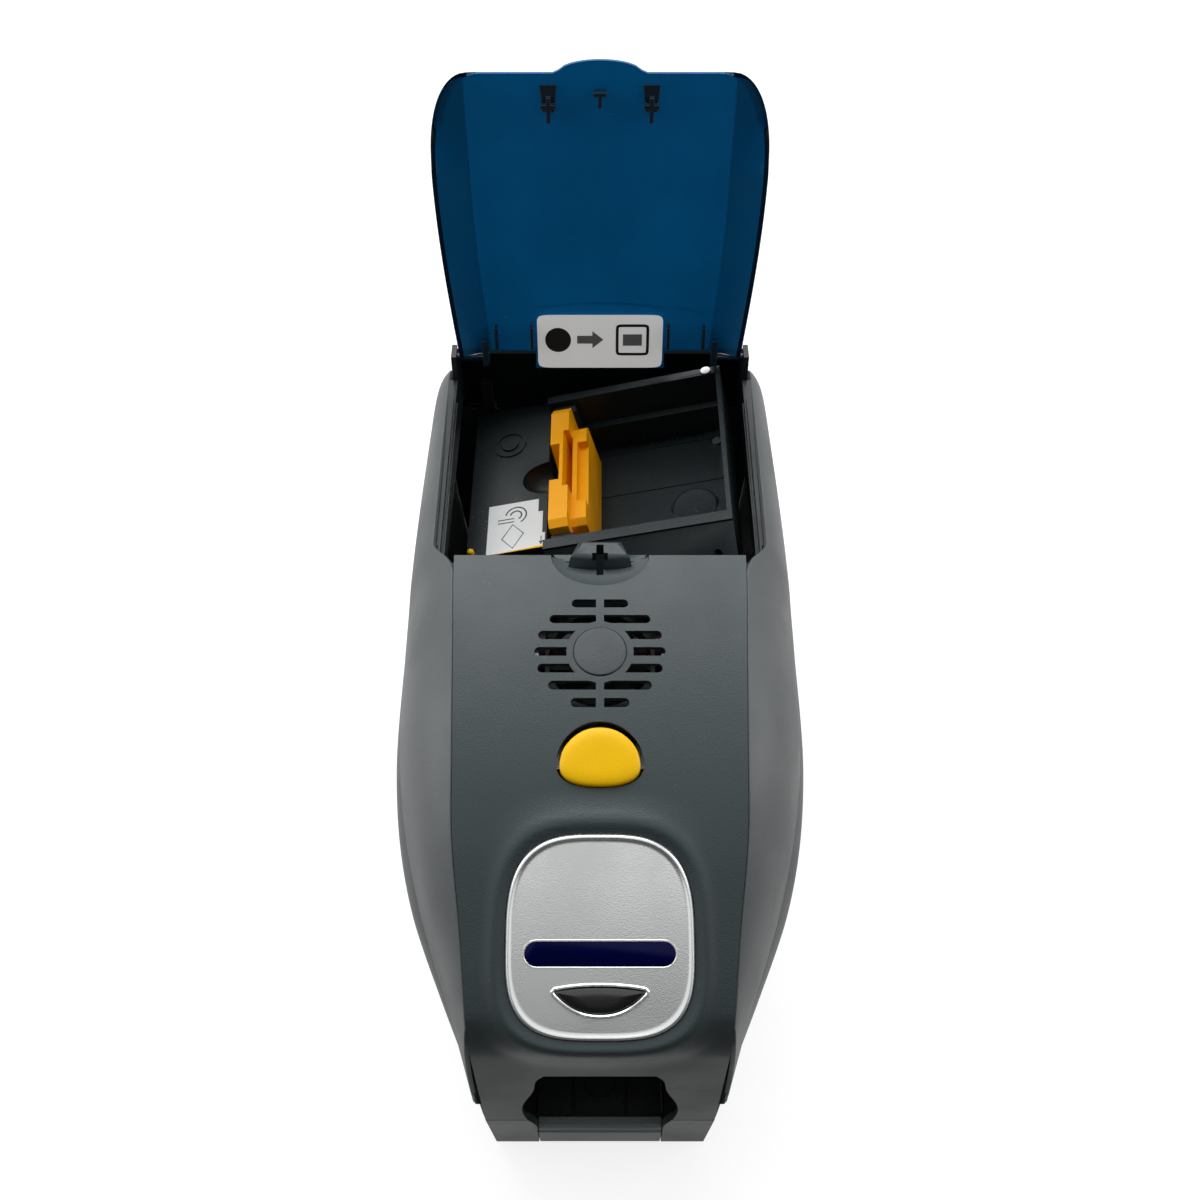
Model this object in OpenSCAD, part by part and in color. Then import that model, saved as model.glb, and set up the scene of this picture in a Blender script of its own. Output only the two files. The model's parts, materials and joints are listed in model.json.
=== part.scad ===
// Desktop printer for plastic identity cards, with its feeder cover standing open.
// X is to the right, the front faces -Y, Z is up from the desk. Millimetres.

/* [Casing] */
// Length of the casing, front to rear
body_l = 368; // [350:1:390]
// Width of the casing at its widest
body_w = 200; // [194:1:216]
// Height of the top cover at the feeder cover's hinge
top_h = 223; // [219:1:230]
// Thickness of the moulded casing walls
wall = 2.6; // [2:0.1:3]
// Gap between neighbouring casing parts
seam = 0.8; // [0.5:0.1:1]
// Height of the rubber feet
foot_h = 4; // [3:0.5:6]
// Radius of a foot
foot_r = 8; // [6:0.5:10]
// Thickness of the base pan's floor
pan_t = 3; // [2:0.5:4]

/* [Feeder cover] */
// Length of the feeder cover, hinge to free edge
cover_l = 140; // [136:1:142]
// Gap between the feeder cover's side and the bay's rail at the hinge
cover_side_gap = 2.2; // [1.5:0.1:4]
// How much wider the feeder cover is near its free edge
cover_flare = 14; // [8:0.5:14]
// Thickness of the tinted sheet
cover_t = 2.2; // [1.6:0.1:2.6]
// Drop of the cover's sloping sides
cover_drop = 8; // [6:0.5:9]
// Swing of the feeder cover from closed to open, in degrees
cover_swing = 108; // [95:1:110]
// Slope of the closed feeder cover, in degrees
cover_slope = 3; // [2:0.5:4]
// Radius of the feeder cover's hinge pins
cover_pin_r = 2; // [1.5:0.1:2.5]

/* [Feeder tray] */
// Lean of the feeder tray, right side higher, in degrees
tray_tilt = 14; // [12:1:15]
// Length of a card
card_l = 85.6; // [85:0.1:87]
// Clearance of the tray beyond the card's length
card_room = 3; // [2:0.5:4]
// Depth of the card pocket below its rim
pocket_d = 38; // [34:1:40]
// Depth of the tray's rim below the casing's top, on the centre line
rim_drop = 21; // [20:1:25]
// Thickness of the tray's floor
tray_t = 2.4; // [2:0.2:3]
// Thickness of the pusher's face plate
pusher_t = 5; // [4:0.5:6]

/* [Control panel] */
// Width of the control panel plate
plate_w = 80; // [76:1:84]
// Length of the control panel plate
plate_l = 86; // [82:1:88]
// Width of the display window
display_w = 64; // [58:1:66]
// Length of the display window along the panel
display_l = 10.4; // [9:0.2:12]
// Width of the control button
key_w = 38; // [34:1:42]
// Length of the control button along the panel
key_l = 11; // [10:0.5:13]
// Travel of the control button
key_travel = 1; // [0.6:0.1:1.2]

/* [Release button and vents] */
// Width of the release button
button_w = 34; // [30:1:36]
// Length of the release button
button_l = 27; // [24:1:29]
// Travel of the release button
button_travel = 3; // [2:0.5:3.5]
// Pitch of the vent rows
vent_pitch = 8.2; // [7.6:0.1:8.6]
// Width of a vent slot
vent_w = 4.7; // [3.6:0.1:5]
// Radius of the disc in the middle of the vents
disc_r = 11.9; // [11:0.1:13]

/* [Mechanism] */
// Depth of the card path below the casing's top
card_drop = 115; // [113:1:117]
// Radius of the rubber rollers
roller_r = 6; // [5:0.5:6.5]
// Radius of the roller shafts
shaft_r = 2.5; // [2:0.1:3]
// Distance between the rollers
roller_pitch = 46; // [44:1:48]
// Distance between the two side frames
frame_gap = 86; // [82:1:88]
// Thickness of the side frames
frame_t = 1.5; // [1.2:0.1:2]
// Module of the drive gears
gear_m = 1; // [0.9:0.05:1.05]
// Teeth of a roller gear
roller_teeth = 26; // [24:2:26]
// Teeth of an idler gear
idler_teeth = 28; // [28:2:30]
// Teeth of the motor pinion
pinion_teeth = 12; // [12:1:14]
// Width of the gears
gear_w = 5; // [4:0.5:6]
// Radius of the wound supply ribbon
supply_r = 19; // [15:0.5:20]
// Radius of the wound take-up ribbon
takeup_r = 12; // [10:0.5:13]
// Radius of the motor
motor_r = 17.5; // [15:0.5:18]

/* [Fits] */
// Radial clearance of a shaft in its bore
run_fit = 0.05; // [0.02:0.01:0.1]
// Gap between pieces that are seated on each other
seat = 0.3; // [0.2:0.05:0.4]

/* [Hidden] */
$fn = 48;

// ---- overall places ----
front_y = -body_l / 2;
rear_y = body_l / 2;
hinge_y = rear_y - 26;                 // feeder cover's hinge
hinge_z = top_h;
bay_y = front_y + 0.5734 * body_l;     // front edge of the feeder bay
lid_end_y = rear_y - 5.5;              // rear end of the lid's shells
pivot_y = rear_y - 4;                  // lid's hinge
pivot_z = 0.7623 * top_h;
card_z = top_h - card_drop;
rim_z = top_h - rim_drop;
rail_t = wall;
rail_x = 0.403 * body_w - rail_t - 2.3;  // inner face of the rails beside the bay
cover_hinge_w = 2 * (rail_x - cover_side_gap);
cover_free_w = cover_hinge_w + cover_flare;
platen_y = front_y + 0.4185 * body_l;
exit_y = platen_y - roller_pitch;
feed_y = platen_y + roller_pitch;
lid_seam_z = 47;                       // seam of lid and base on the front
cover_lift = 3;                        // top of the tinted sheet above the hinge axis at its ends
cover_arch = 3.5;                      // extra height of the sheet at mid length
bulge_w = 39;                          // finger lip on the free edge
bulge_l = 5.5;
cover_lean = cover_swing - 90 - cover_slope;
cover_reach = hinge_y + (cover_l + bulge_l) * sin(cover_lean) + cover_lift * cos(cover_lean);
shift_y = -(front_y + max(cover_reach, rear_y)) / 2;

// ---- smooth curves through a few chosen points ----
function slope_at(t, i) =
  let (a = max(i - 1, 0), b = min(i + 1, len(t) - 1)) (t[b][1] - t[a][1]) / (t[b][0] - t[a][0]);
function span_of(t, y, i = 0) = (i >= len(t) - 2 || y < t[i + 1][0]) ? i : span_of(t, y, i + 1);
function curve(t, y) =
  let (i = span_of(t, y), h = t[i + 1][0] - t[i][0], s = (y - t[i][0]) / h)
  t[i][1] * (2 * s ^ 3 - 3 * s ^ 2 + 1) + slope_at(t, i) * h * (s ^ 3 - 2 * s ^ 2 + s)
  + t[i + 1][1] * (3 * s ^ 2 - 2 * s ^ 3) + slope_at(t, i + 1) * h * (s ^ 3 - s ^ 2);
function mix(a, b, t) = a + (b - a) * t;
function bend(a, c, b, t) = mix(mix(a, c, t), mix(c, b, t), t);
function unit(v) = v / norm(v);
function beside(p, t) = [for (i = [0:len(p) - 1])
  let (d = unit(p[min(i + 1, len(p) - 1)] - p[max(i - 1, 0)])) p[i] + t * [-d[1], d[0]]];
function back(p) = [for (i = [len(p) - 1:-1:0]) p[i]];
function share(y) = (y - front_y) / body_l;

// Outlines by share of the length from the front: half widths as shares of half the body's width,
// heights as shares of the hinge's height.
wide_shape = [[0, 0.55], [0.046, 0.628], [0.12, 0.755], [0.2, 0.878], [0.283, 0.955], [0.37, 0.993],
  [0.44, 1], [0.56, 0.99], [0.75, 0.972], [1, 0.935]];
seam_shape = [[0, 0.585], [0.065, 0.66], [0.133, 0.755], [0.193, 0.83], [0.28, 0.91], [0.378, 0.96],
  [0.5, 0.972], [0.68, 0.97], [1, 0.928]];
seam_rise = [[0, 0.25], [0.03, 0.36], [0.065, 0.475], [0.133, 0.545], [0.193, 0.585], [0.378, 0.673],
  [0.68, 0.742], [1, 0.772]];
top_shape = [[0.02, 0.62], [0.0435, 0.655], [0.12, 0.737], [0.22, 0.834], [0.306, 0.892], [0.435, 0.942],
  [0.568, 0.969], [0.929, 1], [1, 1]];
panel_shape = [[0, 0.55], [0.02, 0.56], [0.12, 0.59], [0.22, 0.63], [0.306, 0.64], [0.435, 0.66],
  [0.573, 0.685], [1, 0.7]];

function wide_x(y) = body_w / 2 * curve(wide_shape, share(y));
function seam_x(y) = body_w / 2 * curve(seam_shape, share(y));
function seam_z(y) = top_h * curve(seam_rise, share(y));
function top_z(y) = top_h * curve(top_shape, share(y));
function panel_x(y) = body_w / 2 * curve(panel_shape, share(y));
function base_x(y) = wide_x(y) - mix(2, 11, min(1, share(y) * 4));

module at_origin() { translate([0, shift_y, 0]) children(); }
module along_x(x = 0) { translate([x, 0, 0]) rotate([90, 0, 90]) children(); }
module along_y(y = 0) { translate([0, y, 0]) rotate([90, 0, 0]) mirror([0, 0, 1]) children(); }
module both_sides() { children(); mirror([1, 0, 0]) children(); }
module rod_x(x0, x1, r, y, z) { translate([x0, y, z]) rotate([0, 90, 0]) cylinder(r = r, h = x1 - x0); }

// A closed skin over rings of points, all with the same number of points
module loft(rings) {
  n = len(rings[0]);
  m = len(rings);
  polyhedron(
    points = [for (r = rings) each r],
    faces = concat(
      [[for (i = [n - 1:-1:0]) i]],
      [for (j = [0:m - 2]) for (i = [0:n - 1]) let (k = (i + 1) % n)
        each [[j * n + i, j * n + k, (j + 1) * n + k], [j * n + i, (j + 1) * n + k, (j + 1) * n + i]]],
      [[for (i = [0:n - 1]) (m - 1) * n + i]]),
    convexity = 8);
}

// ---- casing: the lid ----
front_lean = 7;                        // how far the front face leans back over its height
nose_r = 9;                            // rounding between panel and front face
nose_y = front_y + 16;
function front_face_y(z) = front_y + front_lean * max(0, z - lid_seam_z) / (0.62 * top_h - lid_seam_z);
nose_z = top_z(nose_y);
face_z = nose_z - 22;
top_line = concat(
  [for (i = [0:15]) let (y = mix(bay_y, nose_y, i / 15)) [y, top_z(y)]],
  [for (i = [1:6]) bend([nose_y, nose_z], [front_face_y(nose_z - 8), nose_z - 9],
    [front_face_y(face_z), face_z], i / 6)],
  [[front_face_y(lid_seam_z), lid_seam_z]]);

module panel_outline() {
  ys = [for (i = [0:18]) mix(front_y - 1, bay_y + 8, i / 18)];
  polygon(concat([for (y = ys) [panel_x(y), y]], [for (y = back(ys)) [-panel_x(y), y]]));
}

// the mouth of the card hopper, widest a little above the seam
mouth_shape = [[30, 30.5], [38, 31.5], [48, 35], [58, 36.7], [68, 35.8], [85, 29.5], [97, 25.5], [100.5,
  20]];
module mouth_outline() {
  zs = [for (i = [0:16]) mix(29.5, 100.5, i / 16)];
  polygon(concat([for (z = zs) [curve(mouth_shape, z), z]], [for (z = back(zs)) [-curve(mouth_shape, z),
    z]]));
}

vent_y = front_y + 0.4348 * body_l;
button_y = front_y + 0.3057 * body_l;
plate_y = front_y + plate_l / 2 + 1.5;
function tilt_at(y) = atan((top_z(y + 6) - top_z(y - 6)) / 12);
module on_top(y, a = undef) {
  translate([0, y, top_z(y)]) rotate([a == undef ? tilt_at(y) : a, 0, 0]) children();
}
plate_tilt = tilt_at(plate_y);

// outline of a rounded shape that narrows towards its far end
function soft_outline(w, l, n, taper, count = 48) = [for (i = [0:count - 1])
  let (a = i * 360 / count, c = cos(a), s = sin(a))
  [w / 2 * sign(c) * abs(c) ^ (2 / n) * (1 - taper * s), l / 2 * sign(s) * abs(s) ^ (2 / n)]];

vent_rows = [[-3, 13, 0], [-2, 23, 0], [-1, 28, 11.2], [0, 29.5, 16.5], [1, 28, 11.2], [2, 23, 0], [3,
  13, 0]];
vent_bar = 3.6;                        // bar down the middle of the vents
module vent_slots() {
  for (row = vent_rows) {
    inner = max(row[2], vent_bar / 2);
    translate([0, row[0] * vent_pitch]) both_sides() {
      translate([inner, -vent_w / 2]) square([row[1] - vent_w / 2 - inner, vent_w]);
      translate([row[1] - vent_w / 2, 0]) circle(d = vent_w);
    }
  }
}
module button_outline(grow = 0) {
  polygon(soft_outline(button_w + 2 * grow, button_l + 2 * grow, 2.3, 0.24));
}
module plate_outline(grow = 0) {
  polygon(soft_outline(plate_w + 2 * grow, plate_l + 2 * grow, 3.2, 0.05, 64));
}
scoop_w = 46;                          // thumb scoop in front of the bay
scoop_l = 17;

module top_cover() {
  ear_top = top_z(latch_y) - 1;
  at_origin() color([0.2, 0.21, 0.22]) difference() {
    union() {
      intersection() {
        along_x(-body_w / 2) linear_extrude(body_w) polygon(concat(top_line, back(beside(top_line, wall))));
        linear_extrude(top_h + 10) panel_outline();
      }
      both_sides() translate([frame_gap / 2 - 4, latch_y - 5, latch_z - 5]) cube([3, 10,
        ear_top - latch_z + 5]);
    }
    rod_x(-frame_gap / 2, frame_gap / 2, latch_pin_r + run_fit, latch_y, latch_z);
    along_y(front_y - 1) linear_extrude(20) mouth_outline();
    on_top(vent_y) translate([0, 0, -8]) linear_extrude(16) vent_slots();
    on_top(vent_y) translate([0, 0, -8]) cylinder(r = disc_r + run_fit, h = 16);
    on_top(button_y) translate([0, 0, -10]) linear_extrude(20) button_outline(0.7);
    on_top(plate_y, plate_tilt) translate([0, 0, -8]) linear_extrude(20) plate_outline(seat);
    translate([0, bay_y, top_z(bay_y)]) linear_extrude(20, center = true)
      polygon(soft_outline(scoop_w, 2 * scoop_l, 2, 0));
  }
}

// the lid's lighter side shells, from the panel's edge down to the seam
shoulder = [[0, 0], [0.55, 0], [0.575, 0.3], [0.61, 1], [1, 1]];
function rim_share(y) = max(0, min(1, curve(shoulder, share(y))));
rear_fall = [[0, 0], [0.9, 0], [0.935, 3], [0.96, 12], [1, 34]];
function edge_x(y) = mix(panel_x(y) + 0.5, body_w / 2 * 0.806, rim_share(y));
function edge_z(y) = top_z(y) - 0.4 - 8 * rim_share(y) - curve(rear_fall, share(y));
lid_side_y0 = front_y + front_lean + wall + 2;
function lid_side_ring(y) =
  let (a = [edge_x(y), edge_z(y)], b = [seam_x(y), seam_z(y)], c = [mix(a[0], b[0], 0.72), mix(a[1], b[1], 0.22)],
    outer = [for (i = [0:6]) bend(a, c, b, i / 6)], inner = beside(outer, -wall),
    foot = [inner[6][0], max(inner[6][1], b[1])],
    all = concat(outer, [foot], [for (i = [5:-1:1]) inner[i]], [[a[0], a[1] - 1.1 * wall]]))
  [for (p = all) [p[0], y, p[1]]];
side_ys = [for (i = [0:26]) mix(lid_side_y0, lid_end_y, (i / 26) ^ 1.15)];
module lid_side() {
  loft([for (y = back(side_ys)) lid_side_ring(y)]);
}
module lid_side_right() { at_origin() color([0.47, 0.48, 0.49]) lid_side(); }
module lid_side_left() { at_origin() color([0.47, 0.48, 0.49]) mirror([1, 0, 0]) lid_side(); }

// dark frame round the feeder bay, with the lid's sloping rear wall
rear_top = [hinge_y + 9, top_h - 2];
rear_low = [lid_end_y, pivot_z + 1];
rim_flange = 1.9;
hinge_room = 17;                       // width of the notches round the lid's hinges
module bay_frame() {
  rail = [[bay_y + 1, top_z(bay_y) - 24], [hinge_y + 6, hinge_z - 34], [hinge_y + 6, hinge_z - 9],
    [hinge_y + 5, hinge_z + 4], [hinge_y - 5, hinge_z + 4], [hinge_y - 8, hinge_z - 9],
    [bay_y + 14, top_z(bay_y) - 9.5], [bay_y + 1, top_z(bay_y) - 12]];
  at_origin() color([0.09, 0.1, 0.11]) {
    difference() {
      both_sides() along_x(rail_x) linear_extrude(rail_t) polygon(rail);
      rod_x(-body_w / 2, body_w / 2, cover_pin_r + run_fit, hinge_y, hinge_z);
    }
    both_sides() along_x(rail_x + rail_t - 0.01) linear_extrude(rim_flange) polygon([[bay_y + 14,
      top_z(bay_y) - 11.5],
      [hinge_y - 8, hinge_z - 11], [hinge_y - 8, hinge_z - 9], [bay_y + 14, top_z(bay_y) - 9.5]]);
    line = [rear_top, [hinge_y + 14, top_h - 8], rear_low];
    difference() {
      along_x(-rail_x - rail_t) linear_extrude(2 * (rail_x + rail_t))
        polygon(concat(line, back(beside(line, -wall))));
      both_sides() translate([arm_x - 2, lid_end_y - 8, pivot_z - 2]) cube([hinge_room, 12, 6]);
    }
    inner = [for (q = lid_side_ring(lid_end_y - 2)) [q[0], q[2]]];
    both_sides() along_y(lid_end_y - 3.5) linear_extrude(2)
      polygon(concat([[rail_x + 0.5, pivot_z + 5]], [for (i = [7:13]) inner[i] - [0.6, 0.9]],
        [[rail_x + 0.5, inner[13][1] - 1.5]]));
    both_sides() along_x(rail_x) linear_extrude(rail_t) polygon([[hinge_y + 5.9, hinge_z - 34],
      [lid_end_y - 5, pivot_z + 12], [hinge_y + 13, top_h - 12], [hinge_y + 5.9, top_h - 6]]);
  }
}

// knuckles and pins of the lid, in front of the rear wall
knuckle_r = 4;
arm_x = 60;
arm_w = 6;
lid_pin_r = 2;
module lid_hinge() {
  at_origin() color([0.1, 0.1, 0.11]) both_sides() {
    along_x(arm_x) linear_extrude(arm_w) {
      translate([pivot_y, pivot_z]) circle(r = knuckle_r);
      polygon([[pivot_y - 4, pivot_z - 1], [pivot_y - 12, pivot_z + 6], [pivot_y - 13, pivot_z + 26],
        [pivot_y - 8.2, pivot_z + 26], [pivot_y - 4.9, pivot_z + 3.2], [pivot_y, pivot_z + 3.2]]);
    }
    rod_x(arm_x + arm_w, arm_x + arm_w + 8, lid_pin_r, pivot_y, pivot_z);
  }
}
module hinge_brackets() {
  at_origin() color([0.12, 0.12,
    0.13]) both_sides() along_x(arm_x + arm_w + seat) linear_extrude(5) difference() {
    union() {
      translate([pivot_y, pivot_z]) circle(r = knuckle_r);
      polygon([[pivot_y - 4, pivot_z], [pivot_y - 8, pivot_z - 12], [pivot_y - 8, pivot_z - 34],
        [rear_y - wall - seat, pivot_z - 34], [rear_y - wall - seat, pivot_z]]);
    }
    translate([pivot_y, pivot_z]) circle(r = lid_pin_r + run_fit);
  }
}

// control panel, display and control button on the sloping nose
plate_rise = 1.6;
plate_skirt = 6;                       // the skirt reaches the curved top at both ends
plate_t = 3;
display_at = -7;                       // along the panel from its middle
key_at = -25;
module on_plate() { on_top(plate_y, plate_tilt) children(); }
module stadium(w, l) {
  polygon([for (s = [1, -1]) for (a = [-90:10:90]) s * [(w - l) / 2 + l / 2 * cos(a), l / 2 * sin(a)]]);
}
module key_outline(grow = 0) {
  intersection() {
    translate([-key_w, key_l / 2 + grow - 3 * key_l]) square([2 * key_w, 3 * key_l]);
    translate([0, key_w * 0.55]) circle(r = key_w * 0.55 + key_l / 2 + grow);
    translate([0, -key_w * 0.75]) circle(r = key_w * 0.75 + key_l / 2 + grow);
    square([key_w + 2 * grow, 4 * key_l], center = true);
  }
}
module panel_plate() {
  at_origin() color([0.8, 0.8, 0.79]) on_plate() difference() {
    union() {
      translate([0, 0, plate_rise - plate_t]) linear_extrude(plate_t - 0.6) plate_outline();
      translate([0, 0, plate_rise - 0.61]) linear_extrude(0.61) plate_outline(-0.8);
      translate([0, 0, -plate_skirt]) linear_extrude(plate_skirt) difference() {
        plate_outline();
        plate_outline(-1.6);
      }
    }
    translate([0, display_at, -5]) linear_extrude(20) stadium(display_w, display_l);
    translate([0, key_at, -5]) linear_extrude(20) key_outline(0.35);
  }
}
module display_window() {
  at_origin() color([0.02, 0.03, 0.2]) on_plate() translate([0, display_at, plate_rise - plate_t])
    linear_extrude(plate_t - 0.5) stadium(display_w - 2 * run_fit, display_l - 2 * run_fit);
}
board_t = 1.6;
board_drop = 6;                        // board below the plate's back
key_stem = 3.2;
module display_board() {
  at_origin() color([0.05, 0.3, 0.15]) on_plate() translate([0, 0, plate_rise - plate_t]) {
    translate([-26, key_at - 6, -board_t - board_drop]) cube([52, display_at - key_at + 24, board_t]);
    for (x = [-24, 20], y = [display_at - 9, display_at + 12])
      translate([x, y, -board_drop]) cube([4, 4, board_drop - seat]);
    translate([-14, display_at + 8, -board_drop]) cube([28, 8, 2.4]);
    translate([-3, key_at - 3, -board_drop]) cube([6, 6, board_drop - key_stem - key_travel]);
  }
}
module control_button() {
  at_origin() color([0.08, 0.08, 0.09]) on_plate() translate([0, key_at, plate_rise - plate_t]) {
    linear_extrude(plate_t - 0.2) key_outline();
    translate([-8, -2, -key_stem]) cube([16, 4, key_stem]);
  }
}

module vent_disc() {
  at_origin() color([0.3, 0.33, 0.35]) on_top(vent_y) {
    translate([0, 0, -wall]) cylinder(r = disc_r, h = wall + 0.4);
    translate([0, 0, -wall - 1.5]) cylinder(r = disc_r - 2, h = 1.5);
  }
}

// catch at the front edge of the bay: a dished thumb scoop with a raised tab and a cross-shaped slot
tab_w = 28;
tab_l = 9;
catch_w = 44;
module cover_catch() {
  lip = 3;
  rise = 1.1;                          // the tab stands above the top, just under the closed cover
  cross_at = -1;
  scoop = soft_outline(scoop_w - 2 * seat, 2 * scoop_l - 2 * seat, 2, 0);
  at_origin() color([0.2, 0.21, 0.22]) translate([0, bay_y, top_z(bay_y)]) difference() {
    union() {
      difference() {
        translate([0, 0, -8.6]) linear_extrude(8) intersection() {
          polygon(scoop);
          translate([-catch_w, -scoop_l]) square([2 * catch_w, scoop_l]);
        }
        translate([0, -2, 54.2]) sphere(r = 60, $fn = 96);
      }
      translate([0, 0, -6.4]) linear_extrude(3) polygon([[-catch_w / 2 + 2, -1], [catch_w / 2 - 2, -1],
        [catch_w / 2, lip], [-catch_w / 2, lip]]);
      hull() {
        translate([0, 0, -6]) linear_extrude(rise + 5) polygon([[-tab_w / 2, -2], [tab_w / 2, -2],
          [tab_w / 2 - 4, tab_l - 1], [4 - tab_w / 2, tab_l - 1]]);
        translate([0, 0, -6]) linear_extrude(rise + 6) polygon([[2 - tab_w / 2, 0], [tab_w / 2 - 2, 0],
          [tab_w / 2 - 6, tab_l - 2.5], [6 - tab_w / 2, tab_l - 2.5]]);
        translate([0, 0, -6]) linear_extrude(2) polygon([[-tab_w / 2 - 1, -4], [tab_w / 2 + 1, -4],
          [tab_w / 2 - 3, tab_l], [3 - tab_w / 2, tab_l]]);
      }
    }
    translate([0, cross_at, -10]) linear_extrude(14) {
      square([3.4, 13], center = true);
      square([7.4, 3], center = true);
    }
  }
}

// ---- feeder cover, drawn closed about its hinge and then swung open ----
module cover_place() {
  translate([0, hinge_y, hinge_z]) rotate([-(cover_swing - cover_slope), 0, 0]) children();
}
corner_r = 19;                         // rounding of the free corners
corner_t = 0.74;                       // share of the length where it starts
function cover_half(t) = mix(cover_hinge_w, cover_free_w, sin(90 * min(1, t * 1.5))) / 2;
function corner_in(t) = corner_r * (1 - sqrt(max(0, 1 - (max(0, t - corner_t) / (1 - corner_t)) ^ 2)));
function side_drop(t) = cover_drop * (1 - 0.82 * min(1, max(0, (t - 0.68) / 0.16)));
   // flatter where it lies on the lid
function cover_flat(t) = mix(0.775, 0.795, t) * cover_half(t);
function cover_ring(y, w, t, under) =
  let (f = min(cover_flat(t), w * 0.97), drop = side_drop(t) * min(1, (w - f) / 6),
    top = cover_lift + cover_arch * sin(180 * t), u = under ? cover_t : 0,
    half = [[w - u * 0.35, top - drop - 2.2 * min(1, drop)], [w - u * 0.9, top - drop - u * 0.2],
      [mix(f, w, 0.5) - u * 0.4, top - drop * 0.46 - u * 0.92], [f, top - u], [0, top - u]])
  concat([for (p = half) [p[0], y, p[1]]], [for (i = [3:-1:0]) [-half[i][0], y, half[i][1]]]);
function cover_loop(y, w, t) = concat(cover_ring(y, w, t, false), back(cover_ring(y, w, t, true)));
cover_from = cover_pin_r + 1;           // rear edge of the sheet, ahead of the pins
cover_tail = 7;                        // tongue past the hinge, which carries the label
label_w = 66;
label_l = 30;
cover_steps = concat([for (i = [0:8]) corner_t * i / 8], [for (i = [1:6]) mix(corner_t, 1, sin(i * 15))]);
module feeder_cover() {
  sheet = [for (t = cover_steps) cover_loop(-mix(cover_from, cover_l, t), cover_half(t) - corner_in(t), t)];
  edge = 0.2;                          // the lip's first ring stands just clear of the sheet's end
  bulge = [for (a = [0:15:75]) let (y = -cover_l - edge - (bulge_l - edge) * sin(a)) cover_loop(y,
    bulge_w / 2 * cos(a), 1)];
  at_origin() color([0.02, 0.27, 0.42, 0.75]) cover_place() {
    loft(back(concat(sheet, bulge)));
    translate([-label_w / 2 - 1, -cover_from - 1, cover_lift - cover_t + 0.05])
      cube([label_w + 2, cover_tail + cover_from + 1, cover_t - 0.1]);
  }
}
// pins and their bosses, and the stiffening ribs and locating clips under the sheet
module cover_pins() {
  boss_x = cover_hinge_w / 2 - 15;
  boss_top = cover_pin_r + 1;
  arm_top = -1.9;
  at_origin() color([0.03, 0.12, 0.18]) both_sides() {
    rod_x(boss_x, rail_x + rail_t, cover_pin_r, hinge_y, hinge_z);
    cover_place() along_x(boss_x) linear_extrude(3) polygon([[-11, arm_top - 3], [3, arm_top - 3], [3,
      boss_top],
      [seat - cover_from, boss_top], [seat - cover_from, arm_top], [-11, arm_top]]);
  }
}
module cover_clips() {
  clip_at = -cover_l + 14;
  rib_x = 0.735 * cover_hinge_w / 2;
  under = cover_lift - cover_t + 0.5;
  at_origin() color([0.03, 0.12, 0.18]) cover_place() {
    for (x = [-24, 24]) translate([x, clip_at, under - 4.3]) {
      translate([-1, -4, 0]) cube([2, 11, 4]);
      translate([-3.5, -1, 0]) cube([7, 2, 4]);
      translate([0, 0, 3.5]) linear_extrude(0.5) polygon([[-4, -9], [4, -9], [2.6, 3], [-2.6, 3]]);
    }
    for (x = [-rib_x, -label_w / 2 - 2.5, label_w / 2 + 2.5, rib_x])
      translate([x - 0.8, -18, cover_lift - cover_t - 5]) cube([1.6, 12, 4.8]);
    translate([0, clip_at - 3, under - 6.6]) {
      translate([-0.9, -4, 0]) cube([1.8, 6.8, 6]);
      translate([-3, -4, 0]) cube([6, 1.8, 6]);
    }
  }
}
module cover_label() {
  at_origin() color("white") cover_place()
    translate([-label_w / 2, cover_tail - label_l - 0.5,
      cover_lift - cover_t - seat - 0.2]) cube([label_w, label_l, 0.2]);
}

// ---- casing: the base ----
base_front_t = 3.9;
function side_ring(y) =
  let (a = [seam_x(y), seam_z(y) - seam], w = wide_x(y), m = [w, a[1] * 0.88], b = [base_x(y), foot_h + 1],
    up = [for (i = [0:4]) bend(a, [w, mix(a[1], m[1], 0.45)], m, i / 4)],
    low = [for (i = [1:6]) bend(m, [w, mix(m[1], b[1], 0.55)], b, i / 6)],
    outer = concat(up, low), inner = beside(outer, -wall), head = [inner[0][0], min(inner[0][1], a[1])],
    all = concat(outer, [for (i = [len(inner) - 1:-1:1]) inner[i]], [head]))
  [for (p = all) [p[0], y, p[1]]];
module side_panel() {
  loft([for (y = concat([front_y + base_front_t + seat, front_y + 6.5], side_ys, [rear_y])) side_ring(y)]);
}
module side_panel_right() { at_origin() color([0.42, 0.43, 0.44]) side_panel(); }
module side_panel_left() { at_origin() color([0.42, 0.43, 0.44]) mirror([1, 0, 0]) side_panel(); }

module pan_outline(inset) {
  ys = [for (i = [0:20]) mix(front_y + base_front_t + seat, rear_y - wall - seat, i / 20)];
  polygon(concat([for (y = ys) [base_x(y) - inset, y]], [for (y = back(ys)) [inset - base_x(y), y]]));
}
pan_top = foot_h + pan_t;
module base_pan() {
  inset = wall + seat + 0.6;
  at_origin() color([0.15, 0.15, 0.16]) {
    translate([0, 0, foot_h]) linear_extrude(pan_t) pan_outline(inset);
    both_sides() for (y = [exit_y + 6, hinge_y - 24]) translate([frame_x - 2.5, y - 9, pan_top - 0.01])
      cube([frame_t + 5, 18, frame_lift - seat + 0.01]);
  }
}
foot_places = [[-42, front_y + 34], [42, front_y + 34], [-68, rear_y - 34], [68, rear_y - 34]];
module feet() {
  at_origin() color([0.05, 0.05, 0.05]) for (p = foot_places) translate([p[0], p[1],
    0]) cylinder(r = foot_r, h = foot_h);
}

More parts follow.
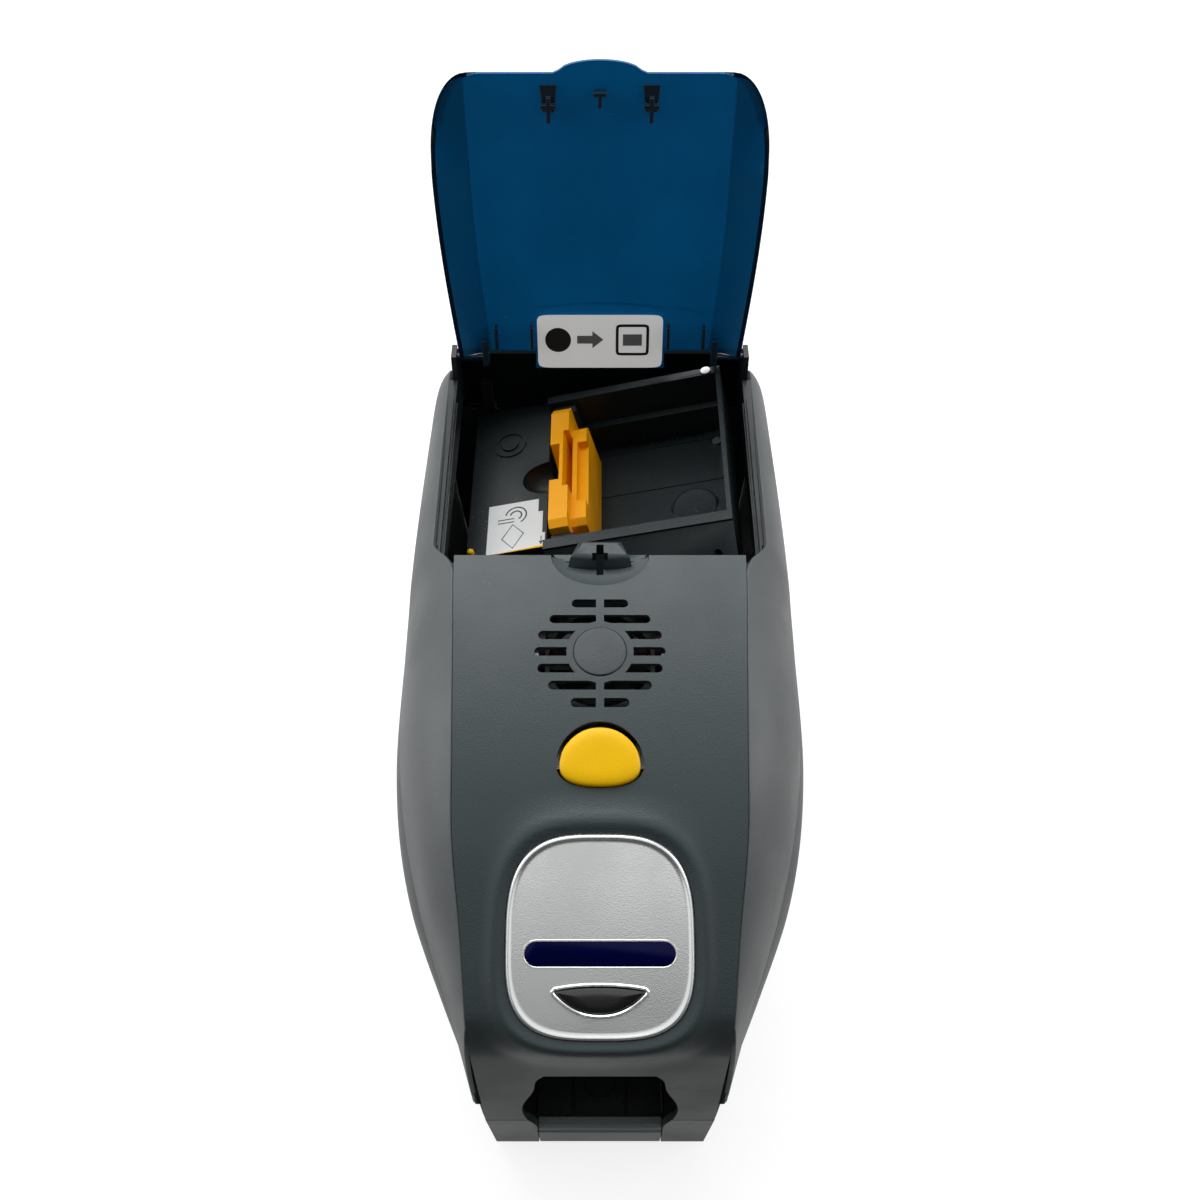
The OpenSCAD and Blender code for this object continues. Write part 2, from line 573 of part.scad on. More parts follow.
sill_w = 61;
sill_z = 30;
module base_front() {
  at_origin() color([0.2, 0.21, 0.22]) difference() {
    along_y(front_y) linear_extrude(base_front_t) difference() {
      polygon([[-base_x(front_y) + 0.5, foot_h + 1], [base_x(front_y) - 0.5, foot_h + 1],
        [panel_x(front_y), lid_seam_z - seam], [-panel_x(front_y), lid_seam_z - seam]]);
      mouth_outline();
      translate([-sill_w / 2 - seat, 0]) square([sill_w + 2 * seat, sill_z + 1]);
    }
  }
}
module hopper_sill() {
  lip_l = 6;
  groove = 1.5;
  at_origin() color([0.36, 0.38, 0.38]) along_x(-sill_w / 2) linear_extrude(sill_w) polygon([
    [front_y, foot_h + 1], [front_y, sill_z - 7], [front_y + groove, sill_z - 6.4], [front_y + groove,
      sill_z - 4],
    [front_y, sill_z - 3.4], [front_y + 0.8, sill_z - 0.8], [front_y + 1.8, sill_z], [front_y + lip_l,
      sill_z],
    [front_y + lip_l, sill_z - wall], [front_y + wall + groove, sill_z - wall],
    [front_y + wall + groove, pan_top + seat], [front_y + wall, pan_top + seat], [front_y + wall,
      foot_h + 1]]);
}
hopper_floor = 24;
hopper_half = 37;
hopper_y0 = front_y + 7;
hopper_y1 = exit_y - 14;
module hopper_tray() {
  t = 2;
  top = 98;
  at_origin() color([0.13, 0.14, 0.15]) {
    difference() {
      translate([-hopper_half - t, hopper_y0, hopper_floor - t]) cube([2 * (hopper_half + t),
        hopper_y1 - hopper_y0, t]);
      translate([0, hopper_y0 + 18, hopper_floor - 0.8]) cylinder(r = 8, h = 2);
    }
    translate([-hopper_half - t, hopper_y1 - t, hopper_floor - 0.01]) cube([2 * (hopper_half + t), t,
      top - hopper_floor - 8]);
    both_sides() translate([hopper_half, hopper_y0, hopper_floor - 0.01]) cube([t, hopper_y1 - hopper_y0,
      top - hopper_floor]);
    for (x = [-13, 13, 31, -31]) translate([x - 0.6, hopper_y0 + 2, hopper_floor - 0.01]) cube([1.2,
      hopper_y1 - hopper_y0 - 6, 0.9]);
    for (x = [-1, 1], y = [hopper_y0 + 24, hopper_y1 - 14])
      translate([x * 30 - 3, y - 3, pan_top + seat]) cube([6, 6, hopper_floor - t - pan_top - seat + 0.01]);
  }
}

port_z = 42;
switch_x = 0.29 * body_w;
inlet_x = 0.15 * body_w;
data_x = 0.02 * body_w;
module rear_panel() {
  top = pivot_z - 1.5;
  edge = [for (q = side_ring(rear_y - wall)) [q[0], q[2]]];
  right = [for (i = [11:21]) edge[i] - [seat, 0]];
  at_origin() color([0.2, 0.21, 0.22]) difference() {
    along_y(rear_y - wall) linear_extrude(wall) intersection() {
      translate([-body_w, foot_h + 0.5]) square([2 * body_w, top - foot_h - 0.5]);
      polygon(concat(right, [for (q = back(right)) [-q[0], q[1]]]));
    }
    both_sides() translate([arm_x - 2, rear_y - 10, pivot_z - 6]) cube([hinge_room, 20, 10]);
    translate([switch_x, rear_y, port_z]) cube([14 + 2 * seat, 20, 20 + 2 * seat], center = true);
    translate([inlet_x, rear_y, port_z]) cube([15 + 2 * seat, 20, 13 + 2 * seat], center = true);
    translate([data_x, rear_y, port_z]) cube([12.5 + 2 * seat, 20, 11.5 + 2 * seat], center = true);
    for (i = [0:7], s = [-1, 1]) translate([s * 42, rear_y, 84 + i * 8]) cube([40, 20, 3.2], center = true);
  }
}
module power_inlet() {
  at_origin() color([0.03, 0.03, 0.03]) translate([inlet_x, rear_y - 8, port_z]) difference() {
    cube([15, 16 - 0.6, 13], center = true);
    translate([0, -5, 0]) rotate([-90, 0, 0]) cylinder(r = 4.6, h = 20);
  }
}
module data_port() {
  at_origin() color([0.7, 0.7, 0.72]) translate([data_x, rear_y - 8, port_z]) difference() {
    cube([12.5, 16 - 0.6, 11.5], center = true);
    translate([0, 7, 0]) cube([9, 20, 8], center = true);
  }
}
rocker_pin_r = 1.2;
module power_switch() {
  at_origin() color([0.04, 0.04, 0.04]) translate([switch_x, rear_y - 3, port_z]) {
    rotate([0, 90, 0]) translate([0, 0, -5]) linear_extrude(10)
      polygon([[-9, 0], [-9, 2.2], [0, 0.9], [9, 3.6], [9, 0], [2, -4], [-2, -4]]);
    rod_x(-7.2, 7.2, rocker_pin_r, 0, 0);
  }
}

// ---- frames and card path ----
frame_x = frame_gap / 2;
frame_lift = 6;                        // frames above the pan's floor
roller_z = card_z - roller_r;
roller_ys = [exit_y, platen_y, feed_y];
gear_sum = gear_m * (roller_teeth + idler_teeth) / 2;
idler_z = roller_z - sqrt(gear_sum ^ 2 - (roller_pitch / 2) ^ 2);
idler_f_y = platen_y - roller_pitch / 2;
idler_r_y = platen_y + roller_pitch / 2;
pinion_z = idler_z - gear_m * (idler_teeth + pinion_teeth) / 2;
supply_y = platen_y + 0.106 * body_l;
supply_z = card_z + 44;
takeup_y = platen_y - 36;
takeup_z = card_z + 34;
spool_pin_r = 4;
bush_r = shaft_r + 1.5;
latch_rod_y = exit_y - 3;
latch_rod_z = card_z + 22;
tie_r = 3;
ties = [[exit_y + 2, 30], [feed_y + 20, 30], [hinge_y - 12, 30], [feed_y + 26, card_z + 12]];
frame_line = [[exit_y - 9, pan_top + frame_lift], [hinge_y, pan_top + frame_lift], [hinge_y,
  card_z + 30], [feed_y + 40, card_z + 40],
  [supply_y + 37, supply_z + 14], [supply_y - 12, supply_z + 14], [platen_y + 16, card_z + 12],
  [platen_y - 18, card_z + 12], [takeup_y + 6, takeup_z + 10], [takeup_y - 16, takeup_z + 8],
    [exit_y - 9, takeup_z - 6]];
module frame_plate() {
  linear_extrude(frame_t) difference() {
    polygon(frame_line);
    for (y = roller_ys) translate([y, roller_z]) circle(r = bush_r + run_fit);
    for (p = [[supply_y, supply_z], [takeup_y, takeup_z]]) translate(p) circle(r = spool_pin_r + run_fit);
    for (p = ties) translate(p) circle(r = tie_r + run_fit);
    translate([latch_rod_y, latch_rod_z]) circle(r = tie_r + run_fit);
    translate([idler_f_y, pinion_z]) circle(r = 7);
    for (y = [feed_y + 32, feed_y + 68]) translate([y, 84]) circle(r = 12);
  }
}
module frame_right() { at_origin() color([0.7, 0.71, 0.72]) along_x(frame_x) frame_plate(); }
module frame_left() { at_origin() color([0.7, 0.71, 0.72]) along_x(-frame_x - frame_t) frame_plate(); }
module frame_ties() {
  ends = frame_x + frame_t;
  at_origin() color([0.75, 0.75, 0.77]) {
    for (p = ties) rod_x(-ends, ends, tie_r, p[0], p[1]);
    rod_x(-ends, ends, tie_r, latch_rod_y, latch_rod_z);
  }
}
guide_t = 1.2;
bush_flange = 1.5;
module card_guide() {
  guide_z = card_z - 1.4 - guide_t;
  guide_half = frame_x - bush_flange - seat;
  at_origin() color([0.62, 0.63, 0.65]) difference() {
    translate([-guide_half, exit_y - 6, guide_z]) cube([2 * guide_half, feed_y - exit_y + 28, guide_t]);
    for (y = roller_ys) translate([0, y, guide_z]) cube([62, 2 * roller_r + 2, 9], center = true);
  }
}
module roller_bushes() {
  at_origin() color([0.85, 0.8, 0.6]) both_sides() for (y = roller_ys) difference() {
    union() {
      rod_x(frame_x - bush_flange, frame_x + frame_t, bush_r, y, roller_z);
      rod_x(frame_x - bush_flange, frame_x, bush_r + 1, y, roller_z);
    }
    rod_x(0, body_w, shaft_r + run_fit, y, roller_z);
  }
}
gear_x = frame_x + frame_t + 1.2;
rubber_half = 29;
module roller(y) {
  rod_x(-rubber_half, rubber_half, roller_r, y, roller_z);
  rod_x(-frame_x - frame_t - 1, gear_x + gear_w, shaft_r, y, roller_z);
}
module platen_roller() { at_origin() color([0.12, 0.12, 0.12]) roller(platen_y); }
module exit_roller() { at_origin() color([0.12, 0.12, 0.12]) roller(exit_y); }
module feed_roller() { at_origin() color([0.12, 0.12, 0.12]) roller(feed_y); }

// ---- drive gears on the right frame ----
function gear_points(n) = let (r = gear_m * n / 2, p = 360 / n) [for (i = [0:n - 1]) for (q = [
    [-0.34, -1.2], [-0.21, -0.1], [-0.1, 0.85], [0.1, 0.85], [0.21, -0.1], [0.34, -1.2]])
  (r + q[1] * gear_m) * [cos((i + q[0]) * p), sin((i + q[0]) * p)]];
// turn of a gear of n2 teeth so that it meshes with one of n1 teeth, turned by a1, that lies at angle dir from it
function mesh_turn(a1, n1, n2, dir) =
  let (lead = (dir - a1) * n1 / 360) dir + 180 - (0.5 - lead) * 360 / n2;
module gear(n, y, z, turn, bore) {
  along_x(gear_x) translate([y, z]) linear_extrude(gear_w) difference() {
    rotate(turn) polygon(gear_points(n));
    circle(r = bore);
  }
}
rise = asin((roller_z - idler_z) / gear_sum);
turn_platen = 0;
turn_front = mesh_turn(turn_platen, roller_teeth, idler_teeth, 180 + rise);
turn_rear = mesh_turn(turn_platen, roller_teeth, idler_teeth, -rise);
turn_exit = mesh_turn(turn_front, idler_teeth, roller_teeth, 180 - rise);
turn_feed = mesh_turn(turn_rear, idler_teeth, roller_teeth, rise);
turn_pinion = mesh_turn(turn_front, idler_teeth, pinion_teeth, -90);
stud_r = 3;
motor_shaft_r = 1.5;
module platen_gear() { at_origin() color("ivory") gear(roller_teeth, platen_y, roller_z, turn_platen,
  shaft_r); }
module exit_gear() { at_origin() color("ivory") gear(roller_teeth, exit_y, roller_z, turn_exit, shaft_r); }
module feed_gear() { at_origin() color("ivory") gear(roller_teeth, feed_y, roller_z, turn_feed, shaft_r); }
module idler_front() { at_origin() color("ivory") gear(idler_teeth, idler_f_y, idler_z, turn_front,
  stud_r + run_fit); }
module idler_rear() { at_origin() color("ivory") gear(idler_teeth, idler_r_y, idler_z, turn_rear,
  stud_r + run_fit); }
module motor_pinion() {
  at_origin() color([0.8, 0.65, 0.3]) {
    gear(pinion_teeth, idler_f_y, pinion_z, turn_pinion, motor_shaft_r);
    rod_x(frame_x - 1, gear_x + gear_w, motor_shaft_r, idler_f_y, pinion_z);
  }
}
module idler_studs() {
  at_origin() color([0.75, 0.75, 0.77]) for (y = [idler_f_y, idler_r_y]) {
    rod_x(frame_x + frame_t, gear_x + gear_w + 1, stud_r, y, idler_z);
    rod_x(gear_x + gear_w + seat, gear_x + gear_w + 1.5, stud_r + 1.4, y, idler_z);
  }
}
module motor() {
  depth = 22;
  at_origin() color([0.2, 0.2, 0.22]) difference() {
    union() {
      rod_x(frame_x - depth, frame_x, motor_r, idler_f_y, pinion_z);
      rod_x(frame_x, frame_x + frame_t, 6.8, idler_f_y, pinion_z);
    }
    rod_x(frame_x - 2, frame_x + frame_t + 1, motor_shaft_r + run_fit, idler_f_y, pinion_z);
  }
}

// ---- ribbon ----
ribbon_half = 30;
module spool(y, z, wound_r) {
  rod_x(-ribbon_half, ribbon_half, wound_r, y, z);
  both_sides() rod_x(ribbon_half, ribbon_half + 4, spool_pin_r + 5, y, z);
  rod_x(-frame_x - frame_t - 1, frame_x + frame_t + 1, spool_pin_r, y, z);
}
module supply_ribbon() { at_origin() color([0.5, 0.1, 0.3]) spool(supply_y, supply_z, supply_r); }
module takeup_ribbon() { at_origin() color([0.15, 0.15, 0.2]) spool(takeup_y, takeup_z, takeup_r); }

// ---- print head and fan under the lid ----
head_half = 30;
module head_bracket() {
  t = 2;
  top = top_z(platen_y) - 20;
  at_origin() color([0.65, 0.66, 0.68]) {
    translate([-head_half - 6, platen_y - 7, card_z + 17]) cube([2 * head_half + 12, 14, t]);
    both_sides() {
      translate([head_half + 4, platen_y - 7, card_z + 17]) cube([t, 14, top - card_z - 17]);
      translate([head_half + 4, platen_y - 16, top - 0.01]) cube([9, 32, t]);
      translate([head_half + 9, platen_y + 13, top]) cube([4, 3,
        top_z(platen_y + 16) - wall - seat - 0.6 - top]);
      translate([head_half + 9, platen_y - 16, top]) cube([4, 3,
        top_z(platen_y - 16) - wall - seat - 0.6 - top]);
    }
  }
}
module print_head() {
  at_origin() color([0.75, 0.7, 0.6]) {
    translate([-head_half, platen_y - 6, card_z + 3]) cube([2 * head_half, 12, 14 - seat]);
    translate([-head_half, platen_y - 2, card_z + 1]) cube([2 * head_half, 4, 2.1]);
  }
}
fan_size = 50;
fan_t = 10;
fan_drop = wall + 6;
hub_r = 11;
post_at = 21.5;
// how far the top curves down from its tangent at y, a step away
function crown(y, step) = top_z(y) + step * sin(tilt_at(y)) - top_z(y + step * cos(tilt_at(y)));
module on_fan() { on_top(vent_y) translate([0, 0, -fan_drop]) children(); }
module fan_housing() {
  at_origin() color([0.08, 0.08, 0.08]) on_fan() difference() {
    union() {
      difference() {
        translate([-fan_size / 2, -fan_size / 2, -fan_t]) cube([fan_size, fan_size, fan_t]);
        translate([0, 0, -fan_t - 1]) cylinder(r = fan_size / 2 - 1.5, h = fan_t + 2);
      }
      for (a = [0, 90]) rotate(a) translate([-fan_size / 2 + 0.5, -1.2, -fan_t]) cube([fan_size - 1, 2.4,
        1.2]);
      translate([0, 0, -fan_t]) cylinder(r = 5, h = 1.2);
      for (x = [-1, 1], y = [-1, 1]) translate([x * post_at, y * post_at, -0.01])
        cylinder(r = 2.6, h = fan_drop - wall - seat - crown(vent_y, y * (post_at + 2.6)));
    }
    translate([0, 0, -fan_t - 1]) cylinder(r = 1 + run_fit, h = 4);
  }
}
module fan_rotor() {
  at_origin() color([0.12, 0.12, 0.12]) on_fan() {
    translate([0, 0, -fan_t + 1.5]) cylinder(r = hub_r, h = fan_t - 2.5);
    translate([0, 0, -fan_t]) cylinder(r = 1, h = 2);
    for (i = [0:6]) rotate(i * 360 / 7) translate([hub_r - 1.5, 0, -fan_t / 2 + 0.3]) rotate([38, 0, 0])
      translate([0, -4, -0.5]) cube([fan_size / 2 - 2.4 - hub_r, 8, 1]);
  }
}

// ---- release button and lid latch ----
latch_y = latch_rod_y - 10;
latch_z = top_z(button_y) - 19;
latch_arm = 14;                        // from the latch's pivot to the button's stem
latch_pin_r = 2;
module release_button() {
  at_origin() color([1, 0.78, 0]) {
    on_top(button_y) {
      translate([0, 0, -button_travel]) linear_extrude(button_travel + 1.2) button_outline();
      translate([0, 0, 1.19]) linear_extrude(1) button_outline(-1.4);
    }
    translate([-5, latch_y + latch_arm, latch_z + 1 + seat]) cube([10, 5, top_z(button_y) - 3.5 - latch_z]);
  }
}
module latch_bar() {
  hook_half = 36;
  at_origin() color([0.6, 0.61, 0.63]) {
    both_sides() along_x(hook_half) linear_extrude(2) difference() {
      union() {
        translate([latch_y, latch_z]) circle(r = 4.5);
        polygon([[latch_y - 4, latch_z], [latch_y + 4, latch_z], [latch_rod_y - tie_r - 2, latch_rod_z],
          [latch_rod_y - tie_r - seat, latch_rod_z - 2.5], [latch_rod_y - tie_r - seat, latch_rod_z - 5],
          [latch_rod_y - tie_r - 6, latch_rod_z - 5]]);
      }
      translate([latch_y, latch_z]) circle(r = latch_pin_r);
    }
    rod_x(-hook_half - 6, hook_half + 6, latch_pin_r, latch_y, latch_z);
    translate([-8, latch_y - 1, latch_z - 1]) cube([16, latch_arm + 7, 2]);
  }
}

// ---- feeder tray, in a frame that leans with it ----
pocket_l = card_l + card_room;
pocket_y = hinge_y - 54;               // middle of the pocket
pocket_x0 = -27;
pocket_x1 = rail_x - 12.7;
ledge_d = 20;
ledge_w = 5;
module in_tray() { translate([0, pocket_y, rim_z]) rotate([0, -tray_tilt, 0]) children(); }
module feeder_tray() {
  half = pocket_l / 2;
  at_origin() color([0.09, 0.1, 0.11]) in_tray() difference() {
    union() {
      translate([pocket_x0 - tray_t, -half - 11, -pocket_d - tray_t])
        cube([pocket_x1 - pocket_x0 + 2 * tray_t, pocket_l + 20, pocket_d + tray_t]);
      along_x(pocket_x0 - tray_t) linear_extrude(pocket_x1 - pocket_x0 + 2 * tray_t)
        polygon([[-half - 10.5, -1], [-half - 10.5, -6], [-half - 33, -26], [-half - 35, -24]]);
    }
    translate([pocket_x0, -half, -pocket_d]) cube([pocket_x1 - pocket_x0, pocket_l, pocket_d + 1]);
    translate([pocket_x0 - 8, -half - ledge_w, -ledge_d]) cube([pocket_x1 - pocket_x0 + 8,
      pocket_l + 2 * ledge_w - 1, ledge_d + 1]);
    translate([pocket_x0 - tray_t - 1, -half - ledge_w, -ledge_d]) cube([8, pocket_l + 2 * ledge_w - 1,
      ledge_d + 1]);
    translate([pocket_x1 - 20.5, -half + 36, -pocket_d]) scale([1, 0.63, 0.13]) sphere(r = 13);
    for (i = [0:14]) translate([6 + i * 3, half - 3, -pocket_d - 0.5]) cube([1.4, 4, 0.9]);
    translate([pocket_x1 - 5, half + 6, -6]) cylinder(r = 1.6, h = 8);
    translate([pocket_x1 - 6, half - 9, -pocket_d - 1.2]) cylinder(r = 1.6, h = 8);
    translate([pocket_x1 - 7, -half - 4, -12]) rotate([90, 0, 0]) cylinder(r = 2, h = 20);
  }
}
module tray_screws() {
  half = pocket_l / 2;
  at_origin() color([0.75, 0.75, 0.77]) in_tray() {
    for (p = [[pocket_x1 - 5, half + 6, 0], [pocket_x1 - 6, half - 9, -pocket_d]]) translate(p) {
      cylinder(r = 2.6, h = 1.2);
      translate([0, 0, -1.1]) cylinder(r = 1.6 - run_fit, h = 1.2);
    }
  }
}
module tray_bracket() {
  lean = tan(tray_tilt);
  under = rim_z - (pocket_d + tray_t + seat) / cos(tray_tilt);
  low = card_z + 32;
  function seat_z(x) = under + x * lean;
  at_origin() color([0.6, 0.61, 0.63]) along_y(pocket_y - 30) linear_extrude(60) polygon([
    [-frame_x + seat, low], [frame_x - seat, low], [frame_x - seat, seat_z(frame_x - seat)],
      [frame_x - 5, seat_z(frame_x - 5)],
    [frame_x - 5, low + 2], [-14, low + 2], [-14, seat_z(-14)], [-19, seat_z(-19)], [-19, low + 2],
      [-frame_x + seat, low + 2]]);
}
plate_x0 = 3.5 - rail_x;
feeder_plate_t = 3;
plate_sink = 7;
plate_back = 12;                       // the plate runs on behind the tray
bowl_r = 15;
module feeder_plate() {
  half = pocket_l / 2;
  leg_t = 2;
  edge_x = pocket_x0 - tray_t - seat;  // the plate ends beside the tray
  bowl = [edge_x + 0.9, 0, -plate_sink];
  at_origin() color([0.1, 0.13, 0.14]) in_tray() difference() {
    union() {
      translate([plate_x0, -half - 4, -plate_sink - feeder_plate_t])
        cube([edge_x - plate_x0, pocket_l + 4 + plate_back, feeder_plate_t]);
      translate([-52, 29, -plate_sink]) difference() {
        cylinder(r = 9, h = 0.8);
        translate([0, 0, -1]) cylinder(r = 7.6, h = 4);
      }
      translate([-52, 29, -plate_sink]) cylinder(r = 4.6, h = 1);
      translate([edge_x - leg_t, -half - 4, -pocket_d]) cube([leg_t, pocket_l + 8,
        pocket_d - plate_sink - 1]);
      intersection() {
        translate(bowl) scale([1, 0.75, 0.8]) sphere(r = bowl_r + 2);
        translate([plate_x0, -half, -pocket_d]) cube([edge_x - plate_x0, pocket_l, pocket_d - plate_sink]);
      }
    }
    translate(bowl) scale([1, 0.75, 0.8]) sphere(r = bowl_r);
  }
}
module loading_label() {
  at_origin() color("white") in_tray() translate([-56, -pocket_l / 2 - 3, -plate_sink + 0.05]) cube([24,
    24, 0.2]);
}
module card_pusher() {
  half = pocket_l / 2 - 1.5;
  low = -pocket_d + 0.5;
  x0 = pocket_x0 + 0.6;
  slab = 2 * pusher_t;
  at_origin() color([1, 0.65, 0]) in_tray() difference() {
    union() {
      along_x(x0) linear_extrude(slab) polygon([[-half, low], [half, low], [half, -1], [half - 6, 2.5],
        [-half + 4, 2.5], [-half, 0]]);
      along_x(x0 + slab - 0.01) linear_extrude(8) polygon([[-half + 5, low], [half - 9, low], [half - 11,
        -7],
        [half - 15, -4], [-half + 8, -4], [-half + 5, -7]]);
    }
    along_x(x0 - 1) linear_extrude(pusher_t + 1) polygon([[-12, 4], [-8, -14], [10, -14], [14, 4]]);
    translate([x0 + slab - 3, -half + 26, -16]) cube([3.4, 2 * half - 46, 20]);
    translate([x0 + slab + 3, -half + 20, -9]) cube([6, 2 * half - 44, 10]);
  }
}
module pusher_guides() {
  half = pocket_l / 2;
  at_origin() color([0.05, 0.05, 0.05]) in_tray() {
    for (y = [-half - ledge_w + 0.6, half - 1.5 + seat])
      translate([pocket_x0 + 0.6, y, -ledge_d + seat]) cube([pusher_t + 7, ledge_w + 0.3 - seat, 16]);
  }
}

// ---- electronics ----
board = [70, 110];
module main_board() {
  at_origin() color([0.05, 0.32, 0.16]) translate([-board[0] / 2, feed_y + 12, pan_top + 6]) difference() {
    cube([board[0], board[1], 1.6]);
    for (x = [5, board[0] - 5], y = [5, board[1] - 5]) translate([x, y, -1]) cylinder(r = 1.6, h = 4);
  }
}
module board_parts() {
  z = pan_top + 6 + 1.6;
  y = feed_y + 12;
  at_origin() color([0.1, 0.1, 0.1]) {
    translate([-12, y + 40, z]) cube([24, 24, 2.4]);
    for (x = [-26, -14, 14, 26]) translate([x, y + 20, z]) cylinder(r = 4, h = 11);
    translate([-30, y + 84, z]) cube([22, 8, 9]);
    translate([6, y + 84, z]) cube([22, 8, 9]);
    for (x = [-30, 30], q = [8, board[1] - 5 - 3]) translate([x, y + q - 3, pan_top]) cylinder(r = 2.4,
      h = 6);
  }
}

base_pan();
base_front();
hopper_sill();
hopper_tray();
side_panel_left();
side_panel_right();
rear_panel();
feet();
frame_left();
frame_right();
frame_ties();
card_guide();
tray_bracket();
feeder_tray();
feeder_plate();
tray_screws();
loading_label();
main_board();
board_parts();
power_inlet();
data_port();
motor();
idler_studs();
roller_bushes();
hinge_brackets();
top_cover();
lid_side_left();
lid_side_right();
bay_frame();
lid_hinge();
panel_plate();
display_window();
display_board();
vent_disc();
cover_catch();
head_bracket();
print_head();
fan_housing();
feeder_cover();
cover_clips();
cover_pins();
cover_label();
release_button();
latch_bar();
control_button();
card_pusher();
pusher_guides();
supply_ribbon();
takeup_ribbon();
platen_roller();
platen_gear();
exit_roller();
exit_gear();
feed_roller();
feed_gear();
idler_front();
idler_rear();
motor_pinion();
fan_rotor();
power_switch();
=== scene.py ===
import json
import math
import bmesh
import bpy
from mathutils import Matrix, Vector


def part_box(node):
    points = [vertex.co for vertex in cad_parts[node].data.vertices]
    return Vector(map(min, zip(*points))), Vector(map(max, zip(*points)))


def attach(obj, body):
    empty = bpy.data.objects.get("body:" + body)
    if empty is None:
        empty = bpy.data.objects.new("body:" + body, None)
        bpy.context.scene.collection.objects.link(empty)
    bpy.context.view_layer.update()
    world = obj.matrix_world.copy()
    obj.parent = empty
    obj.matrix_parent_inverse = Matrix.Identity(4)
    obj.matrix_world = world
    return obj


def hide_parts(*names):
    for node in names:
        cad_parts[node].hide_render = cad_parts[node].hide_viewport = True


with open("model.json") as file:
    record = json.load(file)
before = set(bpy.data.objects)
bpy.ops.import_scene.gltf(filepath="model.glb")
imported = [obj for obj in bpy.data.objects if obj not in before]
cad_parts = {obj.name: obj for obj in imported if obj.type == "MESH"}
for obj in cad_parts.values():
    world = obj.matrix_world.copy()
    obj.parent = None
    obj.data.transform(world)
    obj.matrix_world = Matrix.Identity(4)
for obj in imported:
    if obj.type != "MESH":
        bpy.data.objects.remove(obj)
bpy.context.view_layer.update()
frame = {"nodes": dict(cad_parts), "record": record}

mm = 0.001
casing = {  # sizes of the casing in millimetres, as the frame has them
    "front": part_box("base_front")[0].y / mm,
    "rear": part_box("rear_panel")[1].y / mm,
    "halfWidth": 100.0,
    "topHeight": 223.0,
    "wall": 2.6,
    "seam": 0.8,
    "footHeight": 4.0,
    "bayFromFront": 211.0,
    "hingeFromRear": 26.0,
    "lidEndFromRear": 5.5,
}
front, rear = casing["front"], casing["rear"]
bayY = front + casing["bayFromFront"]
hingeY = rear - casing["hingeFromRear"]
hingeZ = casing["topHeight"]
pieceCount = []

# outlines by share of the length, as half widths and heights
outlines = {
    "wide": [(0, 0.55), (0.046, 0.628), (0.12, 0.755), (0.2, 0.878), (0.283, 0.955), (0.37, 0.993),
             (0.44, 1), (0.56, 0.99), (0.75, 0.972), (1, 0.935)],
    "seamHalf": [(0, 0.585), (0.065, 0.66), (0.133, 0.755), (0.193, 0.83), (0.28, 0.91), (0.378, 0.96),
                 (0.5, 0.972), (0.68, 0.97), (1, 0.928)],
    "seamRise": [(0, 0.25), (0.03, 0.36), (0.065, 0.475), (0.133, 0.545), (0.193, 0.585), (0.378, 0.673),
                 (0.68, 0.742), (1, 0.772)],
    "top": [(0.02, 0.62), (0.0435, 0.655), (0.12, 0.737), (0.22, 0.834), (0.306, 0.892), (0.435, 0.942),
            (0.568, 0.969), (0.929, 1), (1, 1)],
    "panel": [(0, 0.55), (0.02, 0.56), (0.12, 0.59), (0.22, 0.63), (0.306, 0.64), (0.435, 0.66),
              (0.573, 0.685), (1, 0.7)],
    "shoulder": [(0, 0), (0.55, 0), (0.575, 0.3), (0.61, 1), (1, 1)],
    "rearFall": [(0, 0), (0.9, 0), (0.935, 3), (0.96, 12), (1, 34)],
}


def mix(a, b, t):
    return a + (b - a) * t


def smoothCurve(points, x):  # a smooth curve through a few points
    last = len(points) - 1
    i = max([k for k in range(last) if x >= points[k][0]] or [0])

    def slope(k):
        a, b = points[max(k - 1, 0)], points[min(k + 1, last)]
        return (b[1] - a[1]) / (b[0] - a[0])
    h = points[i + 1][0] - points[i][0]
    s = (x - points[i][0]) / h
    return (points[i][1] * (2 * s ** 3 - 3 * s ** 2 + 1) + slope(i) * h * (s ** 3 - 2 * s ** 2 + s)
            + points[i + 1][1] * (3 * s ** 2 - 2 * s ** 3) + slope(i + 1) * h * (s ** 3 - s ** 2))


def along(name, y):
    return smoothCurve(outlines[name], (y - front) / (rear - front))


def topZ(y):
    return casing["topHeight"] * along("top", y)


def panelX(y):
    return casing["halfWidth"] * along("panel", y)


def rimShare(y):
    return max(0.0, min(1.0, along("shoulder", y)))


def edgeX(y):
    return mix(panelX(y) + 0.5, casing["halfWidth"] * 0.806, rimShare(y))


def edgeZ(y):
    return topZ(y) - 0.4 - 8 * rimShare(y) - along("rearFall", y)


def seamPoint(y):
    return casing["halfWidth"] * along("seamHalf", y), casing["topHeight"] * along("seamRise", y)


def arcThrough(a, c, b, t):  # an arc from a to b that leans towards c
    return tuple(mix(mix(p, q, t), mix(q, r, t), t) for p, q, r in zip(a, c, b))


def tiltAt(y):
    return math.atan((topZ(y + 6) - topZ(y - 6)) / 12)


def onTop(y):
    return Matrix.Translation((0, y * mm, topZ(y) * mm)) @ Matrix.Rotation(tiltAt(y), 4, "X")


def softOutline(width, length, power, taper, count=64):
    points = []
    for i in range(count):
        c, s = math.cos(math.tau * i / count), math.sin(math.tau * i / count)
        points.append((width / 2 * math.copysign(abs(c) ** (2 / power), c) * (1 - taper * s),
                       length / 2 * math.copysign(abs(s) ** (2 / power), s)))
    return points


